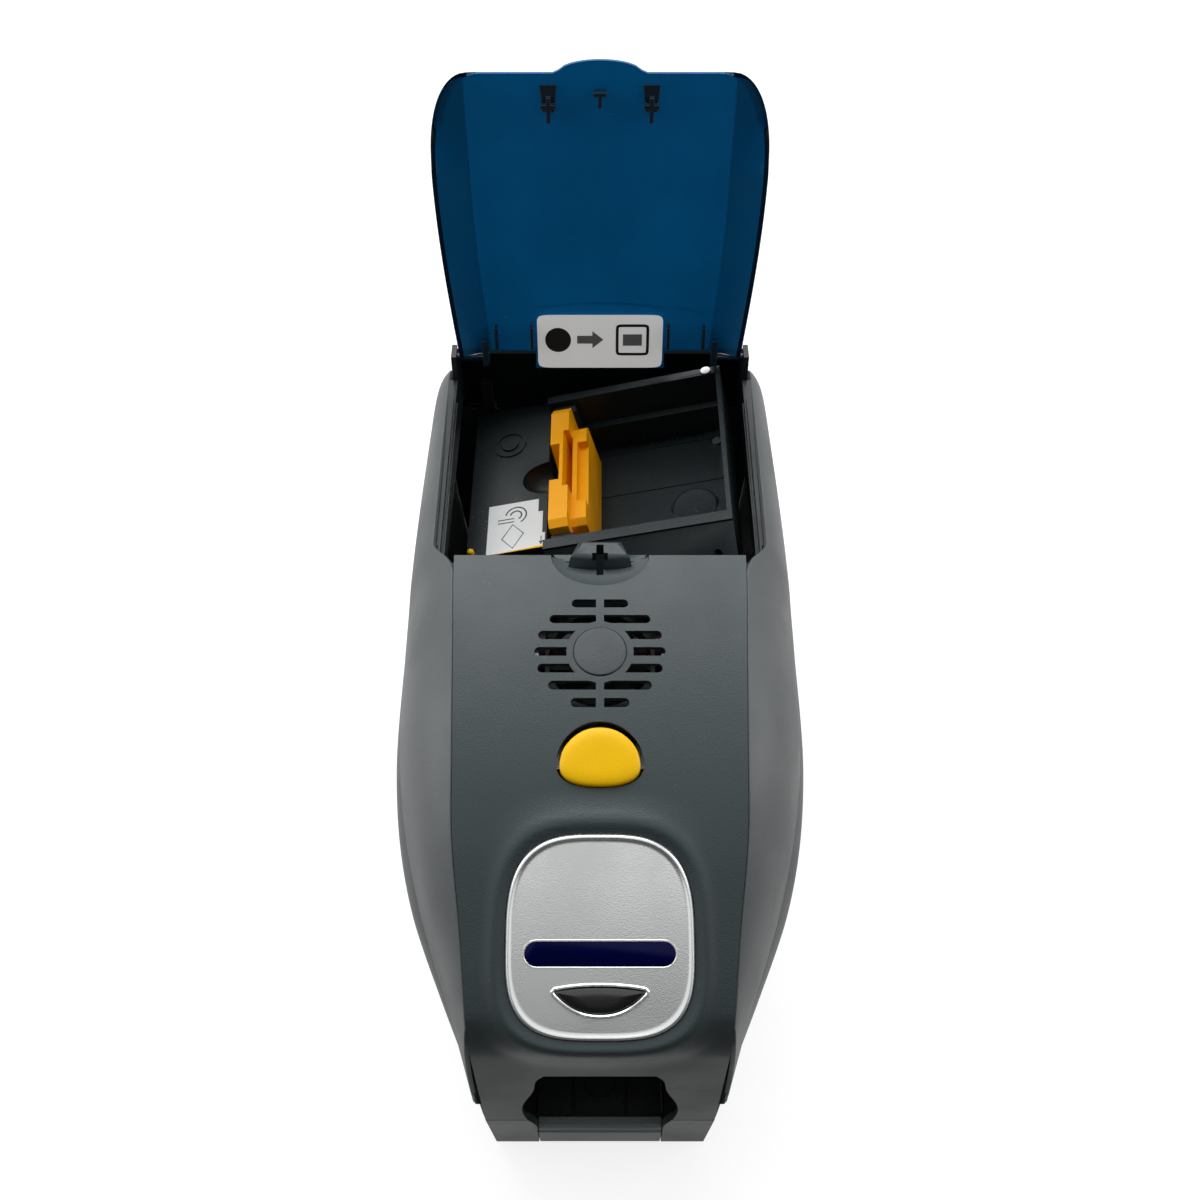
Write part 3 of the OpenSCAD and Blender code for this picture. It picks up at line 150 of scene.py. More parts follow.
def stadium(width, length, steps=10):
    points = []
    for side in (1, -1):
        for i in range(steps + 1):
            a = -math.pi / 2 + math.pi * i / steps
            points.append((side * ((width - length) / 2 + length / 2 * math.cos(a)),
                           side * length / 2 * math.sin(a)))
    return points


# finishes
def linear(value):
    value /= 255
    return value / 12.92 if value <= 0.04045 else ((value + 0.055) / 1.055) ** 2.4


def tone(red, green, blue):
    return (linear(red), linear(green), linear(blue), 1)


def nodeGroup(name, inputs, outputs, build):
    group = bpy.data.node_groups.new(name, "ShaderNodeTree")
    for label, kind, value in inputs:
        socket = group.interface.new_socket(label, in_out="INPUT", socket_type=kind)
        if value is not None:
            socket.default_value = value
    for label, kind in outputs:
        group.interface.new_socket(label, in_out="OUTPUT", socket_type=kind)
    build(group.nodes, group.links, group.nodes.new("NodeGroupInput"), group.nodes.new("NodeGroupOutput"))
    return group


def calc(nodes, links, kind, a, b=None, clamp=False):
    node = nodes.new("ShaderNodeMath")
    node.operation, node.use_clamp = kind, clamp
    for socket, value in zip(node.inputs, (a, b)):
        if value is None:
            continue
        if isinstance(value, (int, float)):
            socket.default_value = value
        else:
            links.new(value, socket)
    return node.outputs[0]


def spread(nodes, links, value, low, high):
    node = nodes.new("ShaderNodeMapRange")
    node.interpolation_type = "SMOOTHSTEP"
    links.new(value, node.inputs["Value"])
    node.inputs["From Min"].default_value, node.inputs["From Max"].default_value = low, high
    return node.outputs["Result"]


def buildGrain(nodes, links, given, made):  # fine mould texture of a pressed or moulded surface
    fine = nodes.new("ShaderNodeTexNoise")
    fine.inputs["Detail"].default_value = 3
    links.new(given.outputs["Vector"], fine.inputs["Vector"])
    links.new(given.outputs["Size"], fine.inputs["Scale"])
    pits = nodes.new("ShaderNodeTexVoronoi")
    links.new(given.outputs["Vector"], pits.inputs["Vector"])
    links.new(given.outputs["Size"], pits.inputs["Scale"])
    total = calc(nodes, links, "ADD", fine.outputs[0], pits.outputs["Distance"])
    links.new(calc(nodes, links, "MULTIPLY", total, given.outputs["Depth"]), made.inputs["Height"])


def buildMarks(nodes, links, given, made):  # slow cloudy change of gloss and shade, and hair scratches
    cloud = nodes.new("ShaderNodeTexNoise")
    cloud.inputs["Detail"].default_value = 4
    links.new(given.outputs["Vector"], cloud.inputs["Vector"])
    links.new(given.outputs["Scale"], cloud.inputs["Scale"])
    links.new(spread(nodes, links, cloud.outputs[0], 0.35, 0.7), made.inputs["Cloud"])
    turn = nodes.new("ShaderNodeMapping")
    turn.inputs["Rotation"].default_value = (0.3, 0.5, 0.7)
    turn.inputs["Scale"].default_value = (14, 260, 60)
    links.new(given.outputs["Vector"], turn.inputs["Vector"])
    hair = nodes.new("ShaderNodeTexNoise")
    hair.inputs["Scale"].default_value = 3
    hair.inputs["Distortion"].default_value = 0.6
    links.new(turn.outputs[0], hair.inputs["Vector"])
    links.new(spread(nodes, links, hair.outputs[0], 0.68, 0.76), made.inputs["Scratch"])


def buildSpecks(nodes, links, given, made):  # sparse dust specks
    specks = nodes.new("ShaderNodeTexVoronoi")
    specks.inputs["Scale"].default_value = 330
    links.new(given.outputs["Vector"], specks.inputs["Vector"])
    dots = spread(nodes, links, specks.outputs["Distance"], 0.16, 0.08)
    where = nodes.new("ShaderNodeTexNoise")
    where.inputs["Scale"].default_value = 46
    links.new(given.outputs["Vector"], where.inputs["Vector"])
    links.new(calc(nodes, links, "MULTIPLY", dots, spread(nodes, links, where.outputs[0], 0.55, 0.7)),
              made.inputs["Mask"])


mouldGrain = nodeGroup("mouldGrain", [("Vector", "NodeSocketVector", None), ("Size", "NodeSocketFloat", 900.0),
                                      ("Depth", "NodeSocketFloat", 1.0)],
                       [("Height", "NodeSocketFloat")], buildGrain)
surfaceMarks = nodeGroup("surfaceMarks", [("Vector", "NodeSocketVector", None),
                                          ("Scale", "NodeSocketFloat", 18.0)],
                         [("Cloud", "NodeSocketFloat"), ("Scratch", "NodeSocketFloat")], buildMarks)
dustSpecks = nodeGroup("dustSpecks", [("Vector", "NodeSocketVector", None)], [("Mask", "NodeSocketFloat")],
                       buildSpecks)


def groupNode(nodes, group):
    node = nodes.new("ShaderNodeGroup")
    node.node_tree = group
    return node


def finish(name, colour, rough=0.45, metal=0.0, grain=900, depth=0.02, cloud=0.12, gloss=0.1, scratch=0.15,
           dust=0.2, coat=0.0, through=0.0, ior=1.5, specular=0.5, glow=0.0):
    material = bpy.data.materials.new(name)
    material.use_nodes = True
    nodes, links = material.node_tree.nodes, material.node_tree.links
    shader = nodes["Principled BSDF"]
    where = nodes.new("ShaderNodeTexCoord").outputs["Object"]
    marks, texture, specks = (groupNode(nodes, group) for group in (surfaceMarks, mouldGrain, dustSpecks))
    for node in (marks, texture, specks):
        links.new(where, node.inputs["Vector"])
    marks.inputs["Scale"].default_value = 16 + 90 * gloss
    texture.inputs["Size"].default_value = grain

    def blend(factor, base, other):
        node = nodes.new("ShaderNodeMix")
        node.data_type = "RGBA"
        links.new(factor, node.inputs["Factor"])
        for socket, value in ((node.inputs[6], base), (node.inputs[7], other)):
            if isinstance(value, tuple):
                socket.default_value = value
            else:
                links.new(value, socket)
        return node.outputs[2]
    darker = tuple(c * (1 - cloud) for c in colour[:3]) + (1,)
    worn = tuple(min(1, c * 1.35 + 0.02) for c in colour[:3]) + (1,)
    dusty = tuple(mix(c, 0.5, 0.45) for c in colour[:3]) + (1,)
    tint = blend(marks.outputs["Cloud"], colour, darker)
    tint = blend(calc(nodes, links, "MULTIPLY", marks.outputs["Scratch"], scratch), tint, worn)
    tint = blend(calc(nodes, links, "MULTIPLY", specks.outputs["Mask"], dust), tint, dusty)
    links.new(tint, shader.inputs["Base Color"])
    change = calc(nodes, links, "MULTIPLY_ADD", marks.outputs["Cloud"], gloss)
    change.node.inputs[2].default_value = rough
    scuffed = calc(nodes, links, "MULTIPLY", marks.outputs["Scratch"], 0.1)
    links.new(calc(nodes, links, "ADD", change, scuffed, True), shader.inputs["Roughness"])
    bump = nodes.new("ShaderNodeBump")
    bump.inputs["Distance"].default_value = 0.001
    bump.inputs["Strength"].default_value = 0.5
    texture.inputs["Depth"].default_value = depth * 10
    links.new(texture.outputs["Height"], bump.inputs["Height"])
    links.new(bump.outputs[0], shader.inputs["Normal"])
    shader.inputs["Metallic"].default_value = metal
    shader.inputs["Coat Weight"].default_value = coat
    shader.inputs["Coat Roughness"].default_value = 0.12
    shader.inputs["Transmission Weight"].default_value = through
    shader.inputs["IOR"].default_value = ior
    shader.inputs["Specular IOR Level"].default_value = specular
    if glow:
        links.new(tint, shader.inputs["Emission Color"])
        shader.inputs["Emission Strength"].default_value = glow
    return material


finishes = {
    "caseDark": finish("caseDark", tone(58, 68, 70), 0.34, grain=1400, depth=0.012, cloud=0.1, specular=0.35),
    "caseGrey": finish("caseGrey", tone(90, 94, 95), 0.4, grain=1500, depth=0.012, cloud=0.08, specular=0.35),
    "bayBlack": finish("bayBlack", tone(22, 31, 34), 0.34, grain=1100, depth=0.014, cloud=0.2, dust=0.4,
                       specular=0.25),
    "sillGrey": finish("sillGrey", tone(140, 148, 148), 0.4, grain=1300, specular=0.35),
    "panBlack": finish("panBlack", tone(34, 36, 38), 0.5, grain=800, depth=0.03, specular=0.25),
    "hopperBlack": finish("hopperBlack", tone(24, 27, 29), 0.38, grain=1000, cloud=0.2, specular=0.25),
    "rubber": finish("rubber", tone(22, 22, 23), 0.75, grain=600, depth=0.05, scratch=0.05),
    "steel": finish("steel", tone(168, 170, 173), 0.34, metal=0.95, grain=500, depth=0.01, cloud=0.16,
                    scratch=0.5),
    "brightSteel": finish("brightSteel", tone(150, 151, 153), 0.3, metal=1, grain=600, depth=0.008, scratch=0.3),
    "labelWhite": finish("labelWhite", tone(226, 228, 228), 0.4, grain=700, depth=0.006, cloud=0.03, scratch=0.05),
    # painted light: the cover label's finish glows a little (glow 0.3), so it looks brighter than the lamps light it
    "brightLabel": finish("brightLabel", tone(236, 238, 238), 0.4, grain=700, depth=0.004, cloud=0.03,
                          scratch=0.05, glow=0.3),
    "labelInk": finish("labelInk", tone(18, 18, 20), 0.4, grain=700, depth=0.004),
    "labelGrey": finish("labelGrey", tone(128, 130, 133), 0.45, grain=700, depth=0.004),
    "boardGreen": finish("boardGreen", tone(20, 86, 48), 0.35, grain=420, depth=0.02, coat=0.3),
    "chipBlack": finish("chipBlack", tone(26, 26, 28), 0.4, grain=900),
    "motorBlack": finish("motorBlack", tone(40, 41, 44), 0.35, metal=0.6, grain=500),
    "bushCream": finish("bushCream", tone(212, 200, 160), 0.4, grain=700),
    "gearIvory": finish("gearIvory", tone(226, 222, 204), 0.42, grain=800),
    "brass": finish("brass", tone(196, 160, 84), 0.28, metal=0.95, grain=600),
    "rollerRubber": finish("rollerRubber", tone(30, 30, 32), 0.6, grain=500, depth=0.04),
    "headCeramic": finish("headCeramic", tone(190, 178, 152), 0.3, grain=700),
    "plateSilver": finish("plateSilver", tone(224, 226, 226), 0.2, metal=0.85, grain=1500, depth=0.003,
                          cloud=0.07, scratch=0.1),
    "chrome": finish("chrome", tone(222, 223, 224), 0.12, metal=1, grain=900, depth=0.004, scratch=0.1),
    "display": finish("display", tone(0, 3, 66), 0.2, grain=500, depth=0.002, cloud=0.3, scratch=0.05,
                      specular=0.12),
    "keyBlack": finish("keyBlack", tone(20, 21, 24), 0.1, grain=500, depth=0.002, coat=0.8, scratch=0.08),
    "buttonYellow": finish("buttonYellow", tone(255, 200, 0), 0.34, grain=1300, depth=0.008, cloud=0.05,
                           scratch=0.1, specular=0.25),
    "pusherOrange": finish("pusherOrange", tone(255, 172, 0), 0.36, grain=1200, depth=0.01, cloud=0.06,
                           scratch=0.12, specular=0.25),
    "discGrey": finish("discGrey", tone(46, 54, 58), 0.4, grain=1200, depth=0.012),
    "coverBlue": finish("coverBlue", tone(0, 112, 174), 0.14, grain=400, depth=0.002, cloud=0.12, gloss=0.05,
                        scratch=0.06, dust=0.06, through=0.3, ior=1.46, specular=0.03),
    "coverTint": finish("coverTint", tone(10, 112, 165), 0.2, grain=400, depth=0.002, cloud=0.1, specular=0.2),
    "coverParts": finish("coverParts", tone(10, 34, 52), 0.3, grain=900, depth=0.006),
    "ribbonColour": finish("ribbonColour", tone(34, 12, 24), 0.22, grain=300, cloud=0.4, coat=0.4),
    "ribbonUsed": finish("ribbonUsed", tone(16, 16, 22), 0.24, grain=300, cloud=0.4, coat=0.4),
}
slotNames = {"hopperBlack": "bay_black", "labelInk": "label_white", "brightLabel": "label_white",
             "labelGrey": "label_white", "gearIvory": "bush_cream", "chrome": "bright_steel",
             "discGrey": "case_dark", "coverTint": "cover_blue"}


def slotOf(name):  # the frame's own slot that a finish stands for
    return slotNames.get(name, "".join("_" + c.lower() if c.isupper() else c for c in name))


def paintedSlopeShade(material, bands):  # painted shade: darkens the tinted sheet in bands across it, by its own UV, where its sides slope away from the light; its turned-down edges are also darkened nearly to black
    nodes, links = material.node_tree.nodes, material.node_tree.links
    split = nodes.new("ShaderNodeSeparateXYZ")
    links.new(nodes.new("ShaderNodeTexCoord").outputs["UV"], split.inputs[0])
    side = calc(nodes, links, "ABSOLUTE", calc(nodes, links, "SUBTRACT", split.outputs["X"], 0.5))
    socket = nodes["Principled BSDF"].inputs["Base Color"]
    for start, end, share in bands:
        before = socket.links[0].from_socket
        node = nodes.new("ShaderNodeMix")
        node.data_type, node.blend_type = "RGBA", "MULTIPLY"
        links.new(spread(nodes, links, side, start, end), node.inputs["Factor"])
        links.new(before, node.inputs[6])
        node.inputs[7].default_value = (share, share, share, 1)
        links.new(node.outputs[2], socket)


# painted shade on the blue sheet's sloping sides, and near-black edges
paintedSlopeShade(finishes["coverBlue"], [(0.348, 0.352, 0.6), (0.466, 0.474, 0.06)])
print("finishes ready", len(finishes))


# ways of making pieces
def shade(piece, angle=32):
    for face in piece.data.polygons:
        face.use_smooth = True
    piece.data.set_sharp_from_angle(angle=math.radians(angle))


def addPiece(name, bm, material, body, instead=(), angle=32):
    mesh = bpy.data.meshes.new(name)
    bm.to_mesh(mesh)
    bm.free()
    piece = bpy.data.objects.new(name, mesh)
    bpy.context.scene.collection.objects.link(piece)
    mesh.materials.append(finishes[material])
    shade(piece, angle)
    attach(piece, body)
    if instead:
        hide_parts(*instead)
    slotOf(material)
    pieceCount.append(name)
    return piece


def softEdges(piece, width, segments=2, angle=38):
    bevel = piece.modifiers.new("softEdges", "BEVEL")
    bevel.width, bevel.segments, bevel.limit_method = width * mm, segments, "ANGLE"
    bevel.angle_limit = math.radians(angle)
    bevel.harden_normals = True
    bevel.use_clamp_overlap = True


def bentSheet(across, lengthwise, place, outward):  # a grid laid on a surface, given in millimetres
    bm = bmesh.new()
    bmesh.ops.create_grid(bm, x_segments=across, y_segments=lengthwise, size=1)
    uv = bm.loops.layers.uv.new("sheet")
    for corner in (c for f in bm.faces for c in f.loops):
        corner[uv].uv = ((corner.vert.co.x + 1) / 2, (corner.vert.co.y + 1) / 2)
    for v in bm.verts:
        v.co = Vector(place((v.co.x + 1) / 2, (v.co.y + 1) / 2)) * mm
    bm.normal_update()
    lean = sum((f.normal * f.calc_area() for f in bm.faces), Vector())
    if lean.dot(Vector(outward)) < 0:
        bmesh.ops.reverse_faces(bm, faces=bm.faces)
    return bm


def wallUp(piece, thickness, inward=True):
    solid = piece.modifiers.new("wall", "SOLIDIFY")
    solid.thickness, solid.offset = thickness * mm, -1 if inward else 1
    solid.use_even_offset = True


def settle(piece):  # makes the modifiers' result the piece's own mesh
    bpy.context.view_layer.update()
    made = bpy.data.meshes.new_from_object(piece.evaluated_get(bpy.context.evaluated_depsgraph_get()))
    piece.modifiers.clear()
    piece.data = made
    return piece


def prism(outline, low, high, turn=Matrix()):
    bm = bmesh.new()
    face = bm.faces.new([bm.verts.new((x * mm, y * mm, low * mm)) for x, y in outline])
    grown = bmesh.ops.extrude_face_region(bm, geom=[face])["geom"]
    bmesh.ops.translate(bm, verts=[v for v in grown if isinstance(v, bmesh.types.BMVert)],
                        vec=(0, 0, (high - low) * mm))
    bmesh.ops.transform(bm, matrix=turn, verts=bm.verts)
    bmesh.ops.recalc_face_normals(bm, faces=bm.faces)
    return bm


def layered(outline, levels, turn):  # an outline drawn up in steps, each a share of its size and a height
    middle = [(min(values) + max(values)) / 2 for values in zip(*outline)]
    size, height = levels[0]
    bm = bmesh.new()
    corners = [(mix(middle[0], x, size) * mm, mix(middle[1], y, size) * mm, height * mm) for x, y in outline]
    top = bm.faces.new([bm.verts.new(corner) for corner in corners])
    about = Matrix.Translation((-middle[0] * mm, -middle[1] * mm, 0))
    for step, (nextSize, nextHeight) in enumerate(levels[1:]):
        grown = bmesh.ops.extrude_face_region(bm, geom=[top])["geom"]
        if step:
            bmesh.ops.delete(bm, geom=[top], context="FACES_ONLY")
        top = next(g for g in grown if isinstance(g, bmesh.types.BMFace))
        bmesh.ops.scale(bm, verts=top.verts, vec=(nextSize / size, nextSize / size, 1), space=about)
        bmesh.ops.translate(bm, verts=top.verts, vec=(0, 0, (nextHeight - height) * mm))
        size, height = nextSize, nextHeight
    bmesh.ops.transform(bm, matrix=turn, verts=bm.verts)
    bmesh.ops.recalc_face_normals(bm, faces=bm.faces)
    return bm


def swept(section, path, turn=Matrix(), closed=False):  # a section carried along a path, q to the path's left
    bm = bmesh.new()
    loops = []
    count = len(path)
    for i, at in enumerate(path):
        before = path[i - 1] if closed or i else at
        after = path[(i + 1) % count] if closed or i < count - 1 else at
        way = (Vector(after[:2]) - Vector(before[:2])).normalized()
        rise = at[2] if len(at) > 2 else 0
        points = [(at[0] - way.y * q, at[1] + way.x * q, rise + z) for q, z in section]
        verts = [bm.verts.new([value * mm for value in point]) for point in points]
        loops.append([bm.edges.new((verts[k - 1], verts[k])) for k in range(len(verts))])
        if not closed and i in (0, count - 1):
            bm.faces.new(verts)
    for a, b in zip(loops, loops[1:] + ([loops[0]] if closed else [])):
        bmesh.ops.bridge_loops(bm, edges=a + b)
    bmesh.ops.transform(bm, matrix=turn, verts=bm.verts)
    bmesh.ops.recalc_face_normals(bm, faces=bm.faces)
    return bm


def boxes(items, turn):  # several small blocks in one piece, each from a low corner to a high corner
    bm = bmesh.new()
    for low, high in items:
        middle, size = (Vector(low) + Vector(high)) / 2 * mm, (Vector(high) - Vector(low)) * mm
        bmesh.ops.create_cube(bm, size=1, matrix=turn @ Matrix.Translation(middle) @ Matrix.Diagonal((*size, 1)))
    return bm


def cut(piece, solids):  # cuts each solid out of the piece
    cutters = []
    for bm in solids:
        mesh = bpy.data.meshes.new("cutter")
        bm.to_mesh(mesh)
        bm.free()
        cutter = bpy.data.objects.new("cutter", mesh)
        bpy.context.scene.collection.objects.link(cutter)
        trim = piece.modifiers.new("cut", "BOOLEAN")
        trim.operation, trim.solver, trim.object = "DIFFERENCE", "EXACT", cutter
        cutters.append(cutter)
    settle(piece)
    for cutter in cutters:
        bpy.data.objects.remove(cutter)
    return piece


def softened(node, material, width, name=None, segments=2, angle=32):  # the CAD piece with rounded edges
    bm = bmesh.new()
    bm.from_mesh(frame["nodes"][node].data)
    bmesh.ops.remove_doubles(bm, verts=bm.verts, dist=1e-6)
    bmesh.ops.dissolve_limit(bm, angle_limit=math.radians(0.4), verts=bm.verts, edges=bm.edges)
    words = node.split("_")
    title = name or words[0] + "".join(w.capitalize() for w in words[1:]) + "Finished"
    home = next(body for body, nodes in frame["record"]["behaviour"]["bodies"].items() if node in nodes)
    piece = addPiece(title, bm, material, home, [node], angle=angle)
    if width:
        softEdges(piece, width, segments)
    return piece


# the lid: dark top, grey sides
topPanel = {"noseFromFront": 16.0, "frontLean": 7.0, "frontLow": 47.0, "across": 72, "edge": 0.7,
            "ventFromFront": 160.0, "buttonFromFront": 112.5, "plateFromFront": 44.5,
            "dishWidth": 13.0, "dishRise": 1.7, "ventPitch": 8.2, "ventWidth": 4.3, "ventBar": 3.6,
            "discRadius": 11.9}
ventY, buttonY, plateY = (front + topPanel[k] for k in ("ventFromFront", "buttonFromFront", "plateFromFront"))
plateSize, plateLength, platePower, plateTaper = 80.0, 86.0, 3.2, 0.05
platePlace = onTop(plateY)
noseY = front + topPanel["noseFromFront"]


def frontFaceY(z):
    low = topPanel["frontLow"]
    return front + topPanel["frontLean"] * max(0, z - low) / (0.62 * casing["topHeight"] - low)


def topLine():
    noseZ = topZ(noseY)
    faceZ = noseZ - 22
    points = [(y, topZ(y)) for y in (mix(bayY, noseY, i / 84) for i in range(85))]
    points += [arcThrough((noseY, noseZ), (frontFaceY(noseZ - 8), noseZ - 9), (frontFaceY(faceZ), faceZ), i / 12)
               for i in range(1, 13)]
    points += [(frontFaceY(z), z) for z in (mix(faceZ, topPanel["frontLow"], i / 12) for i in range(1, 13))]
    return points


line = topLine()
toPlate = platePlace.inverted()


def plateDistance(x, y):  # how far a point lies outside the plate's outline, about
    a, b = plateSize / 2 * (1 - plateTaper * max(-1, min(1, 2 * y / plateLength))), plateLength / 2
    ring = (abs(x / a) ** platePower + abs(y / b) ** platePower) ** (1 / platePower)
    return (ring - 1) * min(a, b)


def topPlace(u, t):
    y, z = line[round(t * (len(line) - 1))]
    point = Vector(((2 * u - 1) * panelX(y), y, z))
    local = toPlate @ (point * mm) / mm
    away = plateDistance(local.x, local.y)
    share = 1 - max(0, min(1, (away - 3) / topPanel["dishWidth"]))
    share = share * share * (3 - 2 * share)
    if share > 0:
        ridge = topPanel["dishRise"] * math.exp(-((away - 5) / 3.2) ** 2) + 0.2
        local.z = mix(local.z, max(ridge, local.z if local.z > 1 else -9), share)
        point = platePlace @ (local * mm) / mm
    return point


mouth = [(30, 30.5), (38, 31.5), (48, 35), (58, 36.7), (68, 35.8), (85, 30.5), (98, 28.5), (103.5, 25)]
mouthHalf = [(smoothCurve(mouth, z), z) for z in (mix(29.5, 103.5, i / 24) for i in range(25))]
mouthOutline = mouthHalf + [(-x, z) for x, z in reversed(mouthHalf)]
facing = Matrix(((1, 0, 0, 0), (0, 0, 1, front * mm), (0, 1, 0, 0), (0, 0, 0, 1)))  # stands on the front face
ventRows = [(-3, 13), (-2, 23), (-1, 28), (0, 29.5), (1, 28), (2, 23), (3, 13)]


def ventCutters():  # slots with round outer ends, cut short by a ring round the disc
    half, solids = topPanel["ventWidth"] / 2, []
    ring = topPanel["discRadius"] + 3.2
    for row, outer in ventRows:
        y0 = row * topPanel["ventPitch"]
        inner = [(max(topPanel["ventBar"] / 2, math.sqrt(max(0, ring ** 2 - (y0 + y) ** 2))), y0 + y)
                 for y in (mix(half, -half, i / 8) for i in range(9))]
        ends = [(outer - half + half * math.cos(a), y0 + half * math.sin(a))
                for a in (mix(-1.5708, 1.5708, i / 8) for i in range(9))]
        for side in (-1, 1):
            solids.append(prism([(side * x, y) for x, y in inner + ends], -9, 8, onTop(ventY)))
    return solids


topSheet = bentSheet(topPanel["across"], len(line) - 1, topPlace, (0, -1, 2))
topCover = addPiece("topCover", topSheet, "caseDark", "lid", ["top_cover"])
wallUp(topCover, casing["wall"])
settle(topCover)
cut(topCover, [prism(mouthOutline, -2, 20, facing),
               prism(softOutline(plateSize + 0.6, plateLength + 0.6, platePower, plateTaper), -12, 12,
                     platePlace),
               prism([(x, y + 0.7) for x, y in softOutline(37.0, 29.6, 2.3, 0.24)], -12, 10, onTop(buttonY)),
               prism(softOutline(46, 34, 2, 0), -12, 10, Matrix.Translation((0, bayY * mm, topZ(bayY) * mm))),
               prism(softOutline(2 * topPanel["discRadius"] + 0.5, 2 * topPanel["discRadius"] + 0.5, 2, 0), -9, 8,
                     onTop(ventY))]
    + ventCutters())
shade(topCover, 55)
softEdges(topCover, topPanel["edge"], 3, 62)
print("top cover ready", len(topCover.data.polygons))


def lidSidePlace(side):
    last = rear - casing["lidEndFromRear"]

    def across(u, y):
        a, b = (edgeX(y), edgeZ(y)), seamPoint(y)
        c = (mix(a[0], b[0], 0.72), mix(a[1], b[1], 0.22))
        return arcThrough(a, c, b, u)

    def place(u, t):
        height = across(u, front + 7)[1]
        y = mix(min(line, key=lambda point: abs(point[1] - height))[0] + 2.9, last, t)
        x, z = across(u, y)
        return side * x, y, z
    return place


def basePanelPlace(side):
    first = front + 4.2

    def place(u, t):
        y = mix(first, rear, t)
        seamAt, w = seamPoint(y), casing["halfWidth"] * along("wide", y)
        a = (seamAt[0], seamAt[1] - casing["seam"])
        middle = (w, a[1] * 0.88)
        low = (w - mix(2, 11, min(1, (y - front) / (rear - front) * 4)), casing["footHeight"] + 1)
        if u < 0.4:
            x, z = arcThrough(a, (w, mix(a[1], middle[1], 0.45)), middle, u / 0.4)
        else:
            x, z = arcThrough(middle, (w, mix(middle[1], low[1], 0.55)), low, (u - 0.4) / 0.6)
        return side * x, y, z
    return place


for side, word in ((1, "Right"), (-1, "Left")):
    lidSheet = bentSheet(18, 96, lidSidePlace(side), (side, 0, 0.4))
    lidSide = addPiece("lidSide" + word, lidSheet, "caseGrey", "lid", ["lid_side_" + word.lower()])
    wallUp(lidSide, casing["wall"])
    softEdges(lidSide, 0.6)
    baseSheet = bentSheet(26, 90, basePanelPlace(side), (side, 0, 0))
    basePanel = addPiece("basePanel" + word, baseSheet, "caseGrey", "chassis", ["side_panel_" + word.lower()])
    wallUp(basePanel, casing["wall"])
    softEdges(basePanel, 0.6)
print("shells ready")

# control panel
panel = {"rise": 1.6, "thickness": 3.0, "dish": 0.7, "display": (64.0, 10.4, -7.0), "key": (38.0, 11.0, -25.0)}


def keyOutline(grow=0.0, steps=20):  # a lens: nearly flat above, a deeper arc below
    width, length, y0 = panel["key"]
    half = width / 2 + grow
    across = [math.sin(math.pi / 2 * i / steps) for i in range(-steps, steps + 1)]
    under = [(x * half, y0 - 0.62 * length - grow + (0.8 * length + grow) * abs(x) ** 2.3) for x in across]
    above = [(x * half, y0 + 0.38 * length + grow - (0.14 * length + grow) * abs(x) ** 2.3)
             for x in reversed(across)]
    return under + above


def platePiece():
    high, dish = panel["rise"], panel["rise"] - panel["dish"]
    levels = [(1, high - panel["thickness"]), (1, high - 0.9), (0.985, high - 0.25), (0.974, high), (0.965, high),
              (0.955, high - 0.15), (0.943, dish + 0.12), (0.932, dish), (0.915, dish)]
    return layered(softOutline(plateSize, plateLength, platePower, plateTaper, 112), levels, platePlace)


plate = addPiece("controlPlate", platePiece(), "plateSilver", "lid", ["panel_plate"])
displayWidth, displayLength, displayAt = panel["display"]


def displayOutline(grow):
    return [(x, y + displayAt) for x, y in stadium(displayWidth + grow, displayLength + grow)]


cut(plate, [prism(displayOutline(0), -9, 9, platePlace), prism(keyOutline(0.35), -9, 9, platePlace)])
shade(plate, 50)
softEdges(plate, 0.25, 2, 60)


def grownOutline(outline, grow):  # the outline moved outwards along its own normals
    count, moved = len(outline), []
    for i in range(count):
        a, b = Vector(outline[i - 1]), Vector(outline[(i + 1) % count])
        way = (b - a).normalized() if (b - a).length else Vector((1, 0))
        moved.append((outline[i][0] + grow * way.y, outline[i][1] - grow * way.x))
    return moved


def collar(name, outline, width, low, high, material, body, turn, edge=0.3):  # a raised rim round an outline
    section = [(0, low), (0, high - edge), (-edge, high), (edge - width, high), (-width, high - edge),
               (-width, low)]
    return addPiece(name, swept([(-q, z) for q, z in section], outline, turn, True), material, body)


def dome(low, edge, rise, steps=7):  # levels of a rounded top
    return [(1, low), (1, edge)] + [(math.cos(a) * 0.5 + 0.5 if a < 1.5 else 0.42, edge + rise * math.sin(a))
                                    for a in (math.pi / 2 * (i / steps) for i in range(1, steps + 1))]


dish = panel["rise"] - panel["dish"]
collar("keyChromeRim", grownOutline(keyOutline(0.2), 1.7), 1.6, dish - 0.6, dish + 0.9, "chrome", "lid",
       platePlace, 0.45)
collar("displayRim", displayOutline(1.8), 0.8, dish - 0.5, dish + 0.12, "plateSilver", "lid", platePlace, 0.15)
glassLevels = [(1, panel["rise"] - panel["thickness"]), (1, dish - 0.25), (0.985, dish - 0.1)]
addPiece("displayGlass", layered(displayOutline(-0.1), glassLevels, platePlace), "display", "lid",
         ["display_window"])
addPiece("controlKey", layered(keyOutline(-0.1), dome(-4.6, dish - 0.1, 0.8), platePlace), "keyBlack", "key",
         ["control_button"], angle=50)
buttonOutline = [(x, y - 0.6) for x, y in softOutline(34, 26, 2.3, 0.24, 80)]
addPiece("releaseButtonDome", layered(buttonOutline, dome(-3, 0.8, 1.9), onTop(buttonY)),
         "buttonYellow", "release", ["release_button"], angle=60)
discLevels = [(1, -2.6), (1, 0.1), (0.97, 0.5), (0.9, 0.62)]
addPiece("ventDiscPlate", layered(softOutline(23.8, 23.8, 2, 0, 72), discLevels, onTop(ventY)),
         "discGrey", "lid", ["vent_disc"])
print("controls ready")

